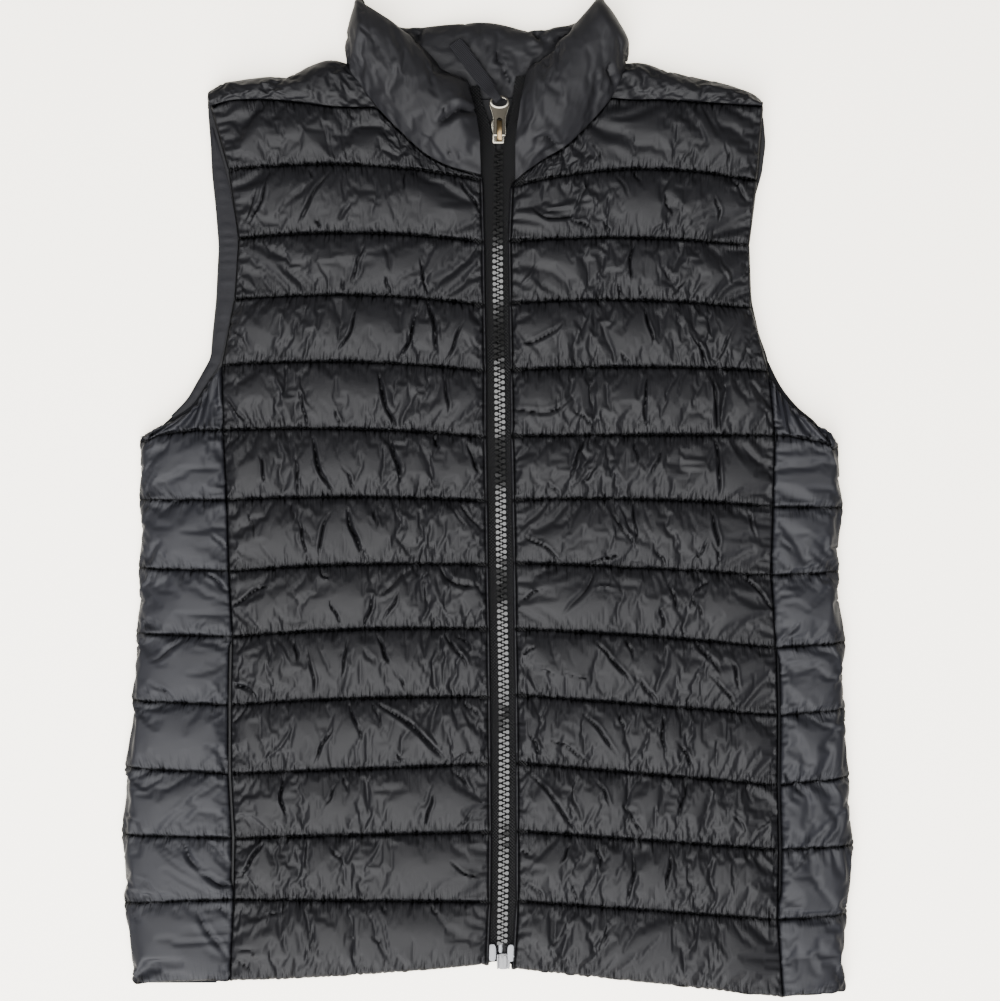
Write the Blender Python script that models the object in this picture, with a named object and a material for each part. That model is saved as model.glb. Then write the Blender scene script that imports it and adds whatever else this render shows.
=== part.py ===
"""Quilted vest with a stand collar, zipped up and laid flat on its back.

Seen from above, +X is to the right and +Y towards the collar; left and right are meant that way.
The origin is on the surface that the vest lies on, under the middle of its outline. Sizes are in
millimetres, and become metres where a mesh is made. Each cloth piece is a wall: a grid of points
on its outer face, a grid on its inner face, and an edge that joins them all round.
"""
import math

import bmesh
import bpy
import numpy as np

MM = 0.001

# Heights above the surface that the vest lies on.
BACK_INSIDE = 9.0
FRONT_INSIDE = 9.4
SEAM_TOP = 12.4
CROWN_TOP = 21.4
TAPE_BOTTOM = 11.7
TAPE_TOP = 12.5
PLACKET_INSIDE = 12.9
PLACKET_TOP = 15.6

# Clearances and edges. A rolled edge is a share of the crown high at the fold and on either side.
SEAM_GAP = 0.4
LEAST_WALL = 2.0
FULL_CHANNEL = 30.0
SIDE_CROWN_DROP = 1.0
ARMHOLE_LOFT = 0.55
ROLL_LEVELS = (0.9, 0.45)
ROLL_UNDER = 0.8
ROLL_SLACK = 0.3
POCKET_GAP = 1.8
POCKET_SPAN = {"left": (-219.0, -77.0), "right": (-226.0, -84.0)}
EDGE_RUN = 12.0
FOLD_ROUND = 4.5
FOLD_WALL = 8.0
CHANNEL_SCALLOP = 1.4
UNDERSIDE_LIFT = 2.5
EDGE_INSIDE = 7.5

# Shoulders, collar and hem.
SHOULDER_TOP = 19.0
SHOULDER_ROLL = 0.93
FLAP_DEPTH = 9.0
FLAP_NECK_WALL = 3.0
FLAP_FULL_REACH = 14.0
HEM_ROUND = 6.0
WING_CLEARANCE = 0.4
WING_FRONT_BOW = 2.0
WING_FRONT_LOFT = 0.45
WING_ROLL_LEVELS = (0.93, 0.5)
WING_FOLD_ROUND = 0.6
LAST_PLACKET_STATION = 1

# Zip.
CHAIN_WIDTH = 6.0
CHAIN_BOTTOM = 10.8
CHAIN_TOP = 13.4
CHAIN_END = 198.5
TAPE_UNDERLAP = 5.0
TAPE_TAIL_Y = -258.0
TAPE_TAIL_SPREAD = {"left": 1.0, "right": 2.2}
PIVOT = (6.7, 204.4, 17.5)
SLIDER_X = 6.1
SLIDER_HALF_LOW = 3.3
SLIDER_HALF_HIGH = 4.0
SLIDER_LOW = 199.6
SLIDER_HIGH = 213.4
SLIDER_TOP_PLATE = (13.6, 14.8)
SLIDER_LOW_PLATE = (9.3, 10.5)
BAIL_WIDTH = 2.0
BAIL_THICKNESS = 1.0
PULL_THICKNESS = 1.2
CROSSBAR = 1.3
PULL_SLOT_WIDTH = 3.0
PULL_SLOT_LENGTH = 8.8
PULL_EYE = (6.7, 222.4)
PULL_EYE_HALF_WIDTH = 4.4
PULL_EYE_SQUASH = 0.66
RIBBON_HEADING = 126.0
RIBBON_THICKNESS = 0.6

# Where points lie across a front, from the zip to the side, and up a channel.
ACROSS = (0.0, 0.05, 0.12, 0.20, 0.29, 0.388, 0.48, 0.57, 0.66, 0.75, 0.84, 0.93, 1.0)
NECK_COLUMNS = 6
RISE = (0.0, 0.18, 0.5, 0.82)
SIDE_TOP = (0.0, 0.12, 0.35, 0.6, 0.82)
SIDE_UNDER = (0.3, 0.6, 0.8, 1.0)


def table(columns, *rows):
    """Rows of numbers as dictionaries, keyed by the names in columns."""
    return [dict(zip(columns.split(), row)) for row in rows]


def column(rows, name):
    return [row[name] for row in rows]


# Quilting lines of each front from the hem up: their ends at the zip and at the side, and how far
# the middle of the line bows up.
FRONT_LINES = {
    "left": table(
        "zip_x zip_y side_x side_y bow",
        (-0.3, -260.0, -144.2, -269.0, -1.5),
        (1.1, -224.8, -142.0, -223.4, 0.0),
        (1.4, -185.6, -141.5, -189.0, 0.0),
        (1.1, -147.6, -143.5, -153.0, 0.0),
        (0.8, -110.0, -143.5, -114.5, 1.5),
        (0.3, -72.0, -142.8, -76.2, 2.0),
        (-0.3, -36.0, -144.8, -39.5, 2.0),
        (-0.8, -0.3, -145.9, 0.3, 2.0),
        (-1.4, 35.6, -148.0, 39.5, 2.5),
        (-1.4, 72.5, -148.5, 75.9, 3.5),
        (-2.0, 109.5, -141.4, 112.8, 4.0),
        (-2.5, 144.8, -139.2, 147.0, 4.0),
        (-3.4, 179.5, -144.8, 185.1, 5.8),
        (-4.2, 181.9, -155.0, 221.0, 0.0),
    ),
    "right": table(
        "zip_x zip_y side_x side_y bow",
        (15.4, -262.4, 165.5, -278.4, 0.0),
        (17.6, -224.3, 162.5, -234.8, 0.0),
        (17.6, -185.1, 163.0, -195.6, 0.0),
        (17.4, -147.0, 162.1, -159.3, 0.0),
        (17.1, -108.9, 162.5, -120.1, 0.0),
        (16.5, -72.0, 161.6, -82.3, 1.2),
        (16.0, -35.0, 158.8, -42.0, 0.8),
        (15.4, 0.3, 159.9, -3.4, 2.3),
        (14.8, 36.1, 161.0, 36.4, 0.5),
        (14.3, 73.1, 157.3, 72.6, 2.0),
        (13.7, 110.6, 147.6, 108.0, 3.0),
        (13.2, 145.3, 146.4, 143.1, 3.0),
        (14.5, 176.4, 150.9, 178.9, 8.0),
        (16.0, 178.8, 154.2, 221.0, 0.0),
    ),
}
# Heights on the page of the front's top edge, a row for each place in ACROSS: the neck seam as
# far as the shoulder, and then the shoulder seam.
TOP_EDGE = table(
    "left right",
    (181.9, 178.8),
    (184.0, 184.5),
    (187.2, 191.5),
    (193.5, 198.0),
    (205.4, 209.5),
    (220.6, 225.4),
    (220.4, 224.5),
    (221.2, 224.7),
    (223.0, 224.2),
    (224.4, 223.3),
    (224.8, 222.4),
    (224.0, 221.6),
    (221.0, 221.0),
)
# Where each quilting line of a side panel turns over the side fold, and the line's bow.
SIDE_LINES = {
    "left": table(
        "fold_x fold_y bow",
        (-199.6, -270.6, 0.0),
        (-204.2, -225.4, 0.0),
        (-205.4, -187.3, 0.0),
        (-203.6, -149.6, 0.0),
        (-200.0, -112.1, 0.0),
        (-197.5, -74.6, 0.0),
        (-196.2, -37.8, 0.0),
        (-195.8, 0.3, 0.0),
        (-195.8, 33.0, 2.5),
    ),
    "right": table(
        "fold_x fold_y bow",
        (201.5, -275.4, 0.0),
        (202.0, -232.1, 0.0),
        (205.5, -193.5, 0.0),
        (203.2, -155.4, 0.0),
        (201.0, -117.3, 0.0),
        (201.2, -79.8, 0.0),
        (197.4, -40.0, 0.0),
        (199.8, -4.0, 0.0),
        (197.4, 29.0, 2.0),
    ),
}
# The low part of the armhole's edge: across a side panel from its seam to the fold, then back
# under it to the seam with the back.
ARMHOLE_TOP = table(
    "left right",
    (75.5, 69.0),
    (68.0, 62.5),
    (50.5, 51.5),
    (43.9, 44.0),
    (39.2, 38.3),
)
ARMHOLE_FOLD = {"left": 35.6, "right": 31.8}
ARMHOLE_UNDER = table(
    "left right",
    (41.0, 42.0),
    (53.0, 53.0),
    (66.4, 63.0),
    (81.0, 79.0),
)
# Sides of the back panel, from the hem to the shoulder.
BACK_SIDES = table(
    "y left right",
    (-290.0, -152.0, 163.0),
    (79.5, -155.0, 157.0),
    (93.0, -154.0, 152.0),
    (112.0, -152.0, 147.8),
    (143.0, -150.5, 146.4),
    (164.0, -152.2, 147.8),
    (183.0, -154.2, 153.5),
    (200.0, -155.0, 155.7),
    (215.0, -156.2, 154.4),
    (229.0, -157.0, 154.5),
)
BACK_LEVELS = (-75.0, 35.0, 79.5, 93.0, 112.0, 143.0, 164.0, 183.0, 200.0)
BACK_HEM_RISE = 1.5
# The fold over each shoulder, a row for each place in ACROSS from the neck corner outwards.
SHOULDER_FOLD = table(
    "left_x left_y right_x right_y",
    (-76.0, 243.6, 75.5, 246.0),
    (-88.2, 246.6, 87.4, 245.0),
    (-100.0, 243.2, 99.0, 241.0),
    (-111.9, 238.0, 110.6, 238.0),
    (-123.9, 237.2, 122.2, 234.6),
    (-135.8, 235.6, 133.8, 231.6),
    (-147.7, 234.0, 145.5, 228.2),
    (-157.0, 229.4, 154.5, 223.8),
)
BACK_NECK = table(
    "x y",
    (-64.0, 233.5),
    (-40.0, 226.3),
    (0.0, 224.3),
    (40.0, 226.3),
    (64.0, 234.8),
)
# The collar. Each wing's top edge from the front corner to the side fold, a row for each station
# of its seam: the neck columns, half way up the shoulder's end, and the start of the fold.
WING_TOPS = table(
    "left_x left_y right_x right_y",
    (-11.0, 233.2, 21.6, 240.0),
    (-16.0, 236.0, 25.5, 243.0),
    (-23.0, 240.3, 30.0, 245.8),
    (-31.0, 247.0, 35.0, 250.0),
    (-42.0, 257.0, 41.0, 257.5),
    (-52.5, 266.0, 48.5, 265.5),
    (-62.0, 272.5, 54.5, 272.0),
    (-68.5, 276.8, 60.0, 278.2),
)
WING_SEAM_ENDS = table(
    "left_x left_y right_x right_y",
    (-68.3, 233.0, 72.3, 236.2),
    (-73.6, 243.6, 74.0, 246.4),
)
# Up a section of the collar, from the neck seam to the top edge: the fold's outline, and the
# heights of the wing and of the back of the collar.
COLLAR_RISE = table(
    "up left_x left_y right_x right_y wing_inside wing_top under inside wall",
    (0.0, -76.4, 245.2, 76.2, 248.0, 9.4, 12.4, 2.2, 7.5, 3.0),
    (0.1, -78.4, 248.4, 78.3, 250.0, 10.9, 17.0, 0.6, 9.6, 5.0),
    (0.35, -79.8, 255.6, 78.9, 256.6, 14.2, 24.5, 0.0, 12.6, 8.0),
    (0.65, -77.6, 265.4, 73.6, 266.6, 14.2, 26.5, 0.0, 12.6, 8.0),
    (0.9, -74.5, 275.0, 66.8, 276.6, 14.2, 23.0, 0.6, 12.0, 6.0),
    (1.0, -73.0, 278.6, 64.4, 279.6, 15.0, 19.0, 3.0, 9.0, 4.0),
)
COLLAR_BACK = table(
    "seam_x seam_y top_x top_y",
    (-64.0, 233.5, -65.0, 274.2),
    (-40.0, 226.3, -46.0, 265.4),
    (-20.0, 225.3, -22.0, 267.0),
    (0.0, 224.3, 0.0, 268.0),
    (20.0, 225.3, 24.0, 263.6),
    (40.0, 226.3, 44.0, 266.4),
    (64.0, 234.8, 58.0, 273.6),
)
# The strip of the back's inside that shows in the left armhole.
FACING = table(
    "outer_x outer_y inner_x inner_y",
    (-155.0, 209.0, -154.0, 209.0),
    (-154.2, 189.0, -148.2, 189.0),
    (-152.2, 171.6, -144.0, 171.6),
    (-150.3, 147.0, -140.2, 147.0),
    (-151.2, 113.0, -142.4, 113.0),
    (-153.6, 90.0, -147.2, 90.0),
    (-156.4, 78.0, -150.4, 76.5),
    (-162.6, 66.5, -158.2, 64.5),
    (-168.2, 57.5, -165.0, 54.5),
    (-177.6, 47.4, -175.8, 46.4),
)
FACING_LIFT = 0.3
FACING_THICKNESS = 0.8
FACING_ROUND = 0.3
# The middle of the chain, from its lower end up.
CHAIN_PATH = table(
    "y x",
    (-247.5, 8.2),
    (-191.0, 9.1),
    (-112.0, 9.1),
    (-33.0, 7.8),
    (75.0, 6.6),
    (134.0, 5.7),
    (CHAIN_END, 6.2),
)
# Edges of each tape past the end of the chain, where the halves part along the collar's wings.
TAPE_ENDS = {
    "left": table(
        "y wing_x teeth_x lift",
        (206.0, -9.5, 2.8, 0.0),
        (214.0, -12.0, 0.4, 0.5),
        (223.0, -14.0, -3.0, 1.4),
        (231.5, -15.0, -4.6, 1.4),
    ),
    "right": table(
        "y wing_x teeth_x lift",
        (206.0, 21.5, 9.6, 0.0),
        (214.0, 22.5, 12.0, 0.5),
        (224.0, 24.0, 14.2, 1.4),
        (237.5, 25.0, 15.6, 1.4),
    ),
}
# Main creases pressed into the fronts: the middle, the way it runs, and its size.
CREASES = table(
    "x y heading length width depth",
    (-60.0, 128.0, 68.0, 34.0, 9.0, 2.4),
    (-92.0, 92.0, 52.0, 38.0, 9.0, 2.4),
    (-34.0, 55.0, 118.0, 32.0, 9.0, 2.2),
    (-70.0, 18.0, 62.0, 36.0, 9.0, 2.6),
    (-110.0, -18.0, 50.0, 40.0, 9.0, 2.4),
    (-45.0, -54.0, 122.0, 36.0, 9.0, 2.6),
    (-95.0, -92.0, 58.0, 40.0, 9.0, 2.6),
    (-40.0, -130.0, 64.0, 34.0, 9.0, 2.2),
    (-84.0, -168.0, 116.0, 36.0, 9.0, 2.4),
    (-120.0, -206.0, 60.0, 34.0, 9.0, 2.2),
    (-52.0, -243.0, 66.0, 30.0, 9.0, 2.0),
    (60.0, 128.0, 48.0, 40.0, 9.0, 2.4),
    (104.0, 90.0, 60.0, 36.0, 9.0, 2.6),
    (48.0, 54.0, 112.0, 34.0, 9.0, 2.2),
    (86.0, 18.0, 46.0, 42.0, 9.0, 2.6),
    (44.0, -18.0, 124.0, 40.0, 9.0, 2.6),
    (124.0, -22.0, 58.0, 36.0, 9.0, 2.2),
    (78.0, -56.0, 50.0, 40.0, 9.0, 2.6),
    (50.0, -94.0, 60.0, 36.0, 9.0, 2.2),
    (112.0, -134.0, 120.0, 38.0, 9.0, 2.4),
    (64.0, -172.0, 54.0, 36.0, 9.0, 2.4),
    (122.0, -214.0, 66.0, 36.0, 9.0, 2.2),
    (80.0, -252.0, 58.0, 30.0, 9.0, 2.0),
)

# The pull, from its crossbar to the top of its ring.
PULL_SHAPE = table(
    "y half",
    (203.3, 3.3),
    (204.4, 3.7),
    (208.5, 3.5),
    (213.5, 3.7),
    (216.3, 4.4),
    (218.3, 5.2),
    (220.4, 5.8),
    (222.4, 5.9),
    (224.2, 5.1),
    (225.6, 3.7),
    (226.4, 1.8),
)
# The ribbon's path: how far out from the middle of the ring's eye, its height and its width.
RIBBON_PATH = table(
    "out z width",
    (42.0, 16.0, 8.0),
    (22.0, 16.6, 8.0),
    (9.5, 17.4, 7.0),
    (6.4, 18.7, 5.6),
    (4.0, 19.0, 4.8),
    (1.8, 18.7, 4.4),
    (0.8, 17.5, 4.4),
    (1.8, 16.3, 4.4),
    (4.0, 16.0, 4.8),
    (6.4, 16.1, 5.6),
    (9.5, 16.2, 7.0),
    (22.0, 15.5, 8.0),
    (42.0, 14.9, 8.0),
)
# What finishes the lower end of the zip: left, right, lower and upper edges, and levels.
BOTTOM_PIECES = (
    ("zip_box", (5.2, 12.6, -262.4, -253.6), (10.4, 14.0), "teeth"),
    ("zip_pin", (6.3, 8.3, -253.2, -248.0), (11.0, 13.4), "teeth"),
    ("zip_film_left", (0.6, 4.8, -257.8, -248.4), (12.9, 13.3), "film"),
    ("zip_film_right", (11.2, 15.0, -257.8, -248.4), (14.3, 14.7), "film"),
)

SIGN = {"left": -1.0, "right": 1.0}


# --- shared helpers ---------------------------------------------------------------------------


def clear_scene():
    for thing in list(bpy.data.objects):
        bpy.data.objects.remove(thing, do_unlink=True)


def collection(name):
    group = bpy.data.collections.new(name)
    bpy.context.scene.collection.children.link(group)
    return group


def material(name, colour, roughness, metallic=0.0):
    """A Principled material in one colour, given as linear red, green and blue."""
    finish = bpy.data.materials.new(name)
    finish.use_nodes = True
    shader = finish.node_tree.nodes["Principled BSDF"]
    shader.inputs["Base Color"].default_value = (*colour, 1.0)
    shader.inputs["Roughness"].default_value = roughness
    shader.inputs["Metallic"].default_value = metallic
    return finish


def add_object(name, mesh, finish, group):
    thing = bpy.data.objects.new(name, mesh)
    thing.data.materials.append(finish)
    group.objects.link(thing)
    mesh.shade_smooth()
    mesh.set_sharp_from_angle(angle=math.radians(50.0))
    return thing


def wall_mesh(name, outer, inner, cells=None):
    """A closed wall between two grids of points, over the cells that are kept."""
    outer = np.asarray(outer, float)
    inner = np.asarray(inner, float)
    across, up = outer.shape[:2]
    if cells is None:
        cells = np.ones((across - 1, up - 1), bool)
    work = bmesh.new()
    points = {}

    def point(layer, i, j):
        key = (layer, i, j)
        if key not in points:
            grid = outer if layer == "outer" else inner
            points[key] = work.verts.new(grid[i, j] * MM)
        return points[key]

    def kept(i, j):
        return 0 <= i < across - 1 and 0 <= j < up - 1 and cells[i, j]

    for i in range(across - 1):
        for j in range(up - 1):
            if not cells[i, j]:
                continue
            ring = [(i, j), (i + 1, j), (i + 1, j + 1), (i, j + 1)]
            work.faces.new([point("outer", *corner) for corner in ring])
            work.faces.new([point("inner", *corner) for corner in reversed(ring)])
            beyond = [(i, j - 1), (i + 1, j), (i, j + 1), (i - 1, j)]
            for side, neighbour in enumerate(beyond):
                if kept(*neighbour):
                    continue
                start = ring[side]
                end = ring[(side + 1) % 4]
                edge = [("outer", start), ("inner", start), ("inner", end), ("outer", end)]
                work.faces.new([point(layer, *corner) for layer, corner in edge])
    bmesh.ops.recalc_face_normals(work, faces=work.faces)
    bmesh.ops.dissolve_limit(
        work, angle_limit=math.radians(0.2), verts=work.verts, edges=work.edges
    )
    bmesh.ops.triangulate(work, faces=work.faces)
    mesh = bpy.data.meshes.new(name)
    work.to_mesh(mesh)
    work.free()
    return mesh


def plate_mesh(name, outlines, low, high, upright=False):
    """A flat plate between two levels, from closed outlines, of which inner ones are holes.

    An upright plate has its outlines in Y and Z, and its levels along X.
    """
    curve = bpy.data.curves.new(name, "CURVE")
    curve.dimensions = "2D"
    curve.fill_mode = "BOTH"
    curve.extrude = (high - low) / 2 * MM
    for outline in outlines:
        spline = curve.splines.new("POLY")
        spline.points.add(len(outline) - 1)
        for place, (a, b) in zip(spline.points, outline):
            place.co = (a * MM, b * MM, 0.0, 1.0)
        spline.use_cyclic_u = True
    holder = bpy.data.objects.new(name + "_outline", curve)
    bpy.context.scene.collection.objects.link(holder)
    seen = holder.evaluated_get(bpy.context.evaluated_depsgraph_get())
    mesh = bpy.data.meshes.new_from_object(seen)
    bpy.data.objects.remove(holder, do_unlink=True)
    work = bmesh.new()
    work.from_mesh(mesh)
    bmesh.ops.remove_doubles(work, verts=work.verts, dist=0.00001)
    for vert in work.verts:
        a, b, level = vert.co
        level += (low + high) / 2 * MM
        vert.co = (level, a, b) if upright else (a, b, level)
    bmesh.ops.recalc_face_normals(work, faces=work.faces)
    work.to_mesh(mesh)
    work.free()
    return mesh


def join_shapes(base, shapes, cutters):
    """Union of a base object with other meshes, each kept as a hidden operand."""
    for count, mesh in enumerate(shapes):
        operand = bpy.data.objects.new(f"{base.name}_operand_{count}", mesh)
        operand.hide_render = True
        operand.display_type = "WIRE"
        cutters.objects.link(operand)
        union = base.modifiers.new(f"union_{count}", "BOOLEAN")
        union.operation = "UNION"
        union.object = operand


def circle(centre, radius, steps, squash=1.0):
    return [
        (
            centre[0] + radius * math.cos(math.tau * step / steps),
            centre[1] + radius * squash * math.sin(math.tau * step / steps),
        )
        for step in range(steps)
    ]


def blend(a, b, share):
    return np.asarray(a, float) * (1 - share) + np.asarray(b, float) * share


def rounding(distance, run=EDGE_RUN):
    """Share of the full loft at a distance from an edge, on a quarter round."""
    inside = min(max(distance / run, 0.0), 1.0)
    return math.sqrt(1.0 - (1.0 - inside) ** 2)


def puff(rise):
    """Share of the full loft at a place up a channel, 0 at its two quilting lines."""
    return 1.0 - abs(2.0 * rise - 1.0) ** 2.4


def finer(shares):
    """The shares with one more half way between each pair that is far enough apart."""
    found = [shares[0]]
    for start, end in zip(shares, shares[1:]):
        if start > 0 and end - start > 0.065:
            found.append((start + end) / 2)
        found.append(end)
    return found


def crease_depth(x, y):
    depth = 0.0
    for crease in CREASES:
        heading = math.radians(crease["heading"])
        along = (x - crease["x"]) * math.cos(heading) + (y - crease["y"]) * math.sin(heading)
        aside = (y - crease["y"]) * math.cos(heading) - (x - crease["x"]) * math.sin(heading)
        reach = (2 * along / crease["length"]) ** 2 + (aside / crease["width"]) ** 2
        depth += crease["depth"] * math.exp(-reach)
    return depth


# --- front panels -----------------------------------------------------------------------------


def line_point(side, index, across):
    """A point on the plan of a front: on quilting line index, at a share of the way across."""
    line = FRONT_LINES[side][index]
    x = line["zip_x"] + (line["side_x"] - line["zip_x"]) * across
    y = line["zip_y"] + (line["side_y"] - line["zip_y"]) * across
    y += line["bow"] * 4 * across * (1 - across)
    if index == len(FRONT_LINES[side]) - 1:
        y = float(np.interp(across, ACROSS, column(TOP_EDGE, side)))
    return np.array([x, y])


def channel_rows(count):
    """Each row of points up a quilted panel, as its channel and the share of the way up it."""
    return [(channel, rise) for channel in range(count) for rise in RISE] + [(count - 1, 1.0)]


def front_point(side, channel, rise, across):
    lower = line_point(side, channel, across)
    return blend(lower, line_point(side, channel + 1, across), rise)


def front_panel(side):
    """Outer and inner points of a front: pillowed channels over a plain inside."""
    outer = []
    inner = []
    for across in finer(ACROSS):
        placket = across <= ACROSS[1]
        base = PLACKET_TOP if placket else SEAM_TOP
        inside = PLACKET_INSIDE if placket else FRONT_INSIDE
        outer_up = []
        inner_up = []
        for channel, rise in channel_rows(len(FRONT_LINES[side]) - 1):
            x, y = front_point(side, channel, rise, across)
            height = np.linalg.norm(
                line_point(side, channel + 1, across) - line_point(side, channel, across)
            )
            width = abs(
                front_point(side, channel, rise, 1.0)[0] - front_point(side, channel, rise, 0.0)[0]
            )
            loft = puff(rise) * rounding(min(across, 1 - across) * width)
            loft *= min(1.0, height / FULL_CHANNEL) ** 0.5
            top = base + (CROWN_TOP - base) * loft - crease_depth(x, y) * loft
            outer_up.append((x, y, max(top, inside + LEAST_WALL)))
            inner_up.append((x, y, inside))
        outer.append(outer_up)
        inner.append(inner_up)
    return outer, inner


# --- side panels ------------------------------------------------------------------------------


def pocket_share(side, y):
    """1 inside the pocket opening in the side seam, 0 past its ends."""
    low, high = POCKET_SPAN[side]
    return min(max(min(y - low, high - y) / 6.0, 0.0), 1.0)


def back_seam_x(side, y):
    """The x of the seam between a side panel and the back, at y on the page."""
    return float(np.interp(y, column(BACK_SIDES, "y"), column(BACK_SIDES, side)))


def side_line(side, index):
    """One line round a side panel: points over the top, at the fold and underneath.

    The lines are those of the quilting from the hem up, and the low part of the armhole is the last.
    """
    way = SIGN[side]
    at_armhole = index == len(SIDE_LINES[side])
    row = SIDE_LINES[side][min(index, len(SIDE_LINES[side]) - 1)]
    seam = line_point(side, index, 1.0)
    fold = np.array([row["fold_x"], ARMHOLE_FOLD[side] if at_armhole else row["fold_y"]])
    over = []
    for place, share in enumerate(SIDE_TOP):
        x, y = blend(seam, fold, share)
        y += row["bow"] * 4 * share * (1 - share)
        over.append((x, ARMHOLE_TOP[place][side] if at_armhole else y))
    under = []
    for place, share in enumerate(SIDE_UNDER):
        y = ARMHOLE_UNDER[place][side] if at_armhole else fold[1]
        seam_x = back_seam_x(side, y) + way * SEAM_GAP
        under.append((fold[0] + (seam_x - fold[0]) * share, y))
    return np.array(over), fold, np.array(under)


def side_row(side, channel, rise):
    """The points over, at the fold and underneath of one row of a side panel, and its crown."""
    way = SIGN[side]
    low = side_line(side, channel)
    high = side_line(side, channel + 1)
    over, fold, under = (blend(a, b, rise) for a, b in zip(low, high))
    last = channel == len(SIDE_LINES[side]) - 1
    gap = SEAM_GAP + (POCKET_GAP - SEAM_GAP) * pocket_share(side, over[0][1])
    for place, share in enumerate(SIDE_TOP):
        over[place, 0] += way * gap * (1 - share)
    if not last:
        fold[0] += way * CHANNEL_SCALLOP * puff(rise)
    loft = puff(rise) * (ARMHOLE_LOFT if last else 1.0)
    return over, fold, under, SEAM_TOP + (CROWN_TOP - SIDE_CROWN_DROP - SEAM_TOP) * loft


def rolled(x, y, crown, inward):
    """Outer and inner points round a fold: above it, at it and below it."""
    levels = (crown * ROLL_LEVELS[0], crown * ROLL_LEVELS[1], ROLL_UNDER)
    insides = (FRONT_INSIDE, (FRONT_INSIDE + BACK_INSIDE) / 2, BACK_INSIDE)
    insets = (FOLD_ROUND, 0.0, FOLD_ROUND)
    walls = (FOLD_WALL + 0.5, FOLD_WALL, FOLD_WALL + 0.5)
    outer = [(x + inward * inset, y, level) for inset, level in zip(insets, levels)]
    inner = [(x + inward * wall, y, inside) for wall, inside in zip(walls, insides)]
    return outer, inner


def side_panel(side):
    """Outer and inner points of a side: over the top, round the fold and back underneath."""
    rows = channel_rows(len(SIDE_LINES[side]))
    outer = []
    inner = []
    for channel, rise in rows:
        over, fold, under, crown = side_row(side, channel, rise)
        edge_row = (channel, rise) in (rows[0], rows[-1])
        outer_row = []
        inner_row = []
        for x, y in over:
            height = SEAM_TOP + (crown - SEAM_TOP) * rounding(abs(x - over[0][0]))
            outer_row.append((x, y, height))
            inner_row.append((x, y, FRONT_INSIDE))
        outer_turn, inner_turn = rolled(*fold, crown, -SIGN[side])
        outer_row += outer_turn
        inner_row += inner_turn
        for x, y in under:
            outer_row.append((x, y, UNDERSIDE_LIFT if edge_row else 0.0))
            inner_row.append((x, y, EDGE_INSIDE if edge_row else BACK_INSIDE))
        outer.append(outer_row)
        inner.append(inner_row)
    return np.swapaxes(outer, 0, 1), np.swapaxes(inner, 0, 1)


# --- back panel -------------------------------------------------------------------------------


def hem_height(x):
    """The back hem's place on the page at x, just above the lowest lines of fronts and sides."""
    left, right = FRONT_LINES["left"][0], FRONT_LINES["right"][0]
    left_side, right_side = SIDE_LINES["left"][0], SIDE_LINES["right"][0]
    places = [left_side["fold_x"], left["side_x"], left["zip_x"]]
    places += [right["zip_x"], right["side_x"], right_side["fold_x"]]
    heights = [left_side["fold_y"], left["side_y"], left["zip_y"]]
    heights += [right["zip_y"], right["side_y"], right_side["fold_y"]]
    return float(np.interp(x, places, heights)) + BACK_HEM_RISE


def back_width(y, share):
    """The x of a point of the back at height y on the page, at a share of the way across."""
    heights = column(BACK_SIDES, "y")
    left = np.interp(y, heights, column(BACK_SIDES, "left"))
    right = np.interp(y, heights, column(BACK_SIDES, "right"))
    return float(left + (right - left) * share)


def back_columns():
    """The back's columns from left to right: x and y on its top edge, and its shoulder place."""
    shoulders = {
        side: [
            (row[side + "_x"], row[side + "_y"], side, NECK_COLUMNS - 1 + place)
            for place, row in enumerate(SHOULDER_FOLD)
        ]
        for side in SIGN
    }
    neck = [(row["x"], row["y"], None, None) for row in BACK_NECK]
    return shoulders["left"][::-1] + neck + shoulders["right"]


def shoulder_roll(top_x, top_y, side, place):
    """Points of one column over the shoulder's fold and forward to the shoulder seam."""
    at_neck = place == NECK_COLUMNS - 1
    at_armhole = place == len(ACROSS) - 1
    seam = line_point(side, len(FRONT_LINES[side]) - 1, ACROSS[place]) + (0.0, SEAM_GAP)
    if at_neck:
        seam = seam + (SIGN[side] * SEAM_GAP, 0.0)
    reach = top_y - seam[1]
    roll = FLAP_NECK_WALL if at_neck else min(FOLD_WALL, 0.55 * reach)
    inset = min(FOLD_ROUND, 0.35 * reach)
    from_end = min(place - NECK_COLUMNS + 1, len(ACROSS) - 1 - place) * EDGE_RUN
    loft = rounding(from_end) * min(1.0, reach / FLAP_FULL_REACH)
    crown = SEAM_TOP + (SHOULDER_TOP - SEAM_TOP) * loft
    low = UNDERSIDE_LIFT if at_armhole else 0.0
    inside = EDGE_INSIDE if at_armhole else BACK_INSIDE
    outer = [
        (top_x, top_y - FLAP_DEPTH, low),
        (top_x, top_y - inset, max(low, ROLL_UNDER)),
        (top_x, top_y, crown * ROLL_LEVELS[1]),
    ]
    inner = [
        (top_x, top_y - FLAP_DEPTH, inside),
        (top_x, top_y - roll - ROLL_SLACK, inside),
        (top_x, top_y - roll, (FRONT_INSIDE + BACK_INSIDE) / 2),
    ]
    for along, level in ((0.0, crown * SHOULDER_ROLL), (0.5, crown), (1.0, SEAM_TOP)):
        x = top_x + (seam[0] - top_x) * along
        height = max(level, SEAM_TOP * SHOULDER_ROLL)
        outer.append((x, blend(top_y - inset, seam[1], along), height))
        inner.append((x, blend(top_y - roll - ROLL_SLACK, seam[1], along), FRONT_INSIDE))
    return outer, inner


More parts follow.
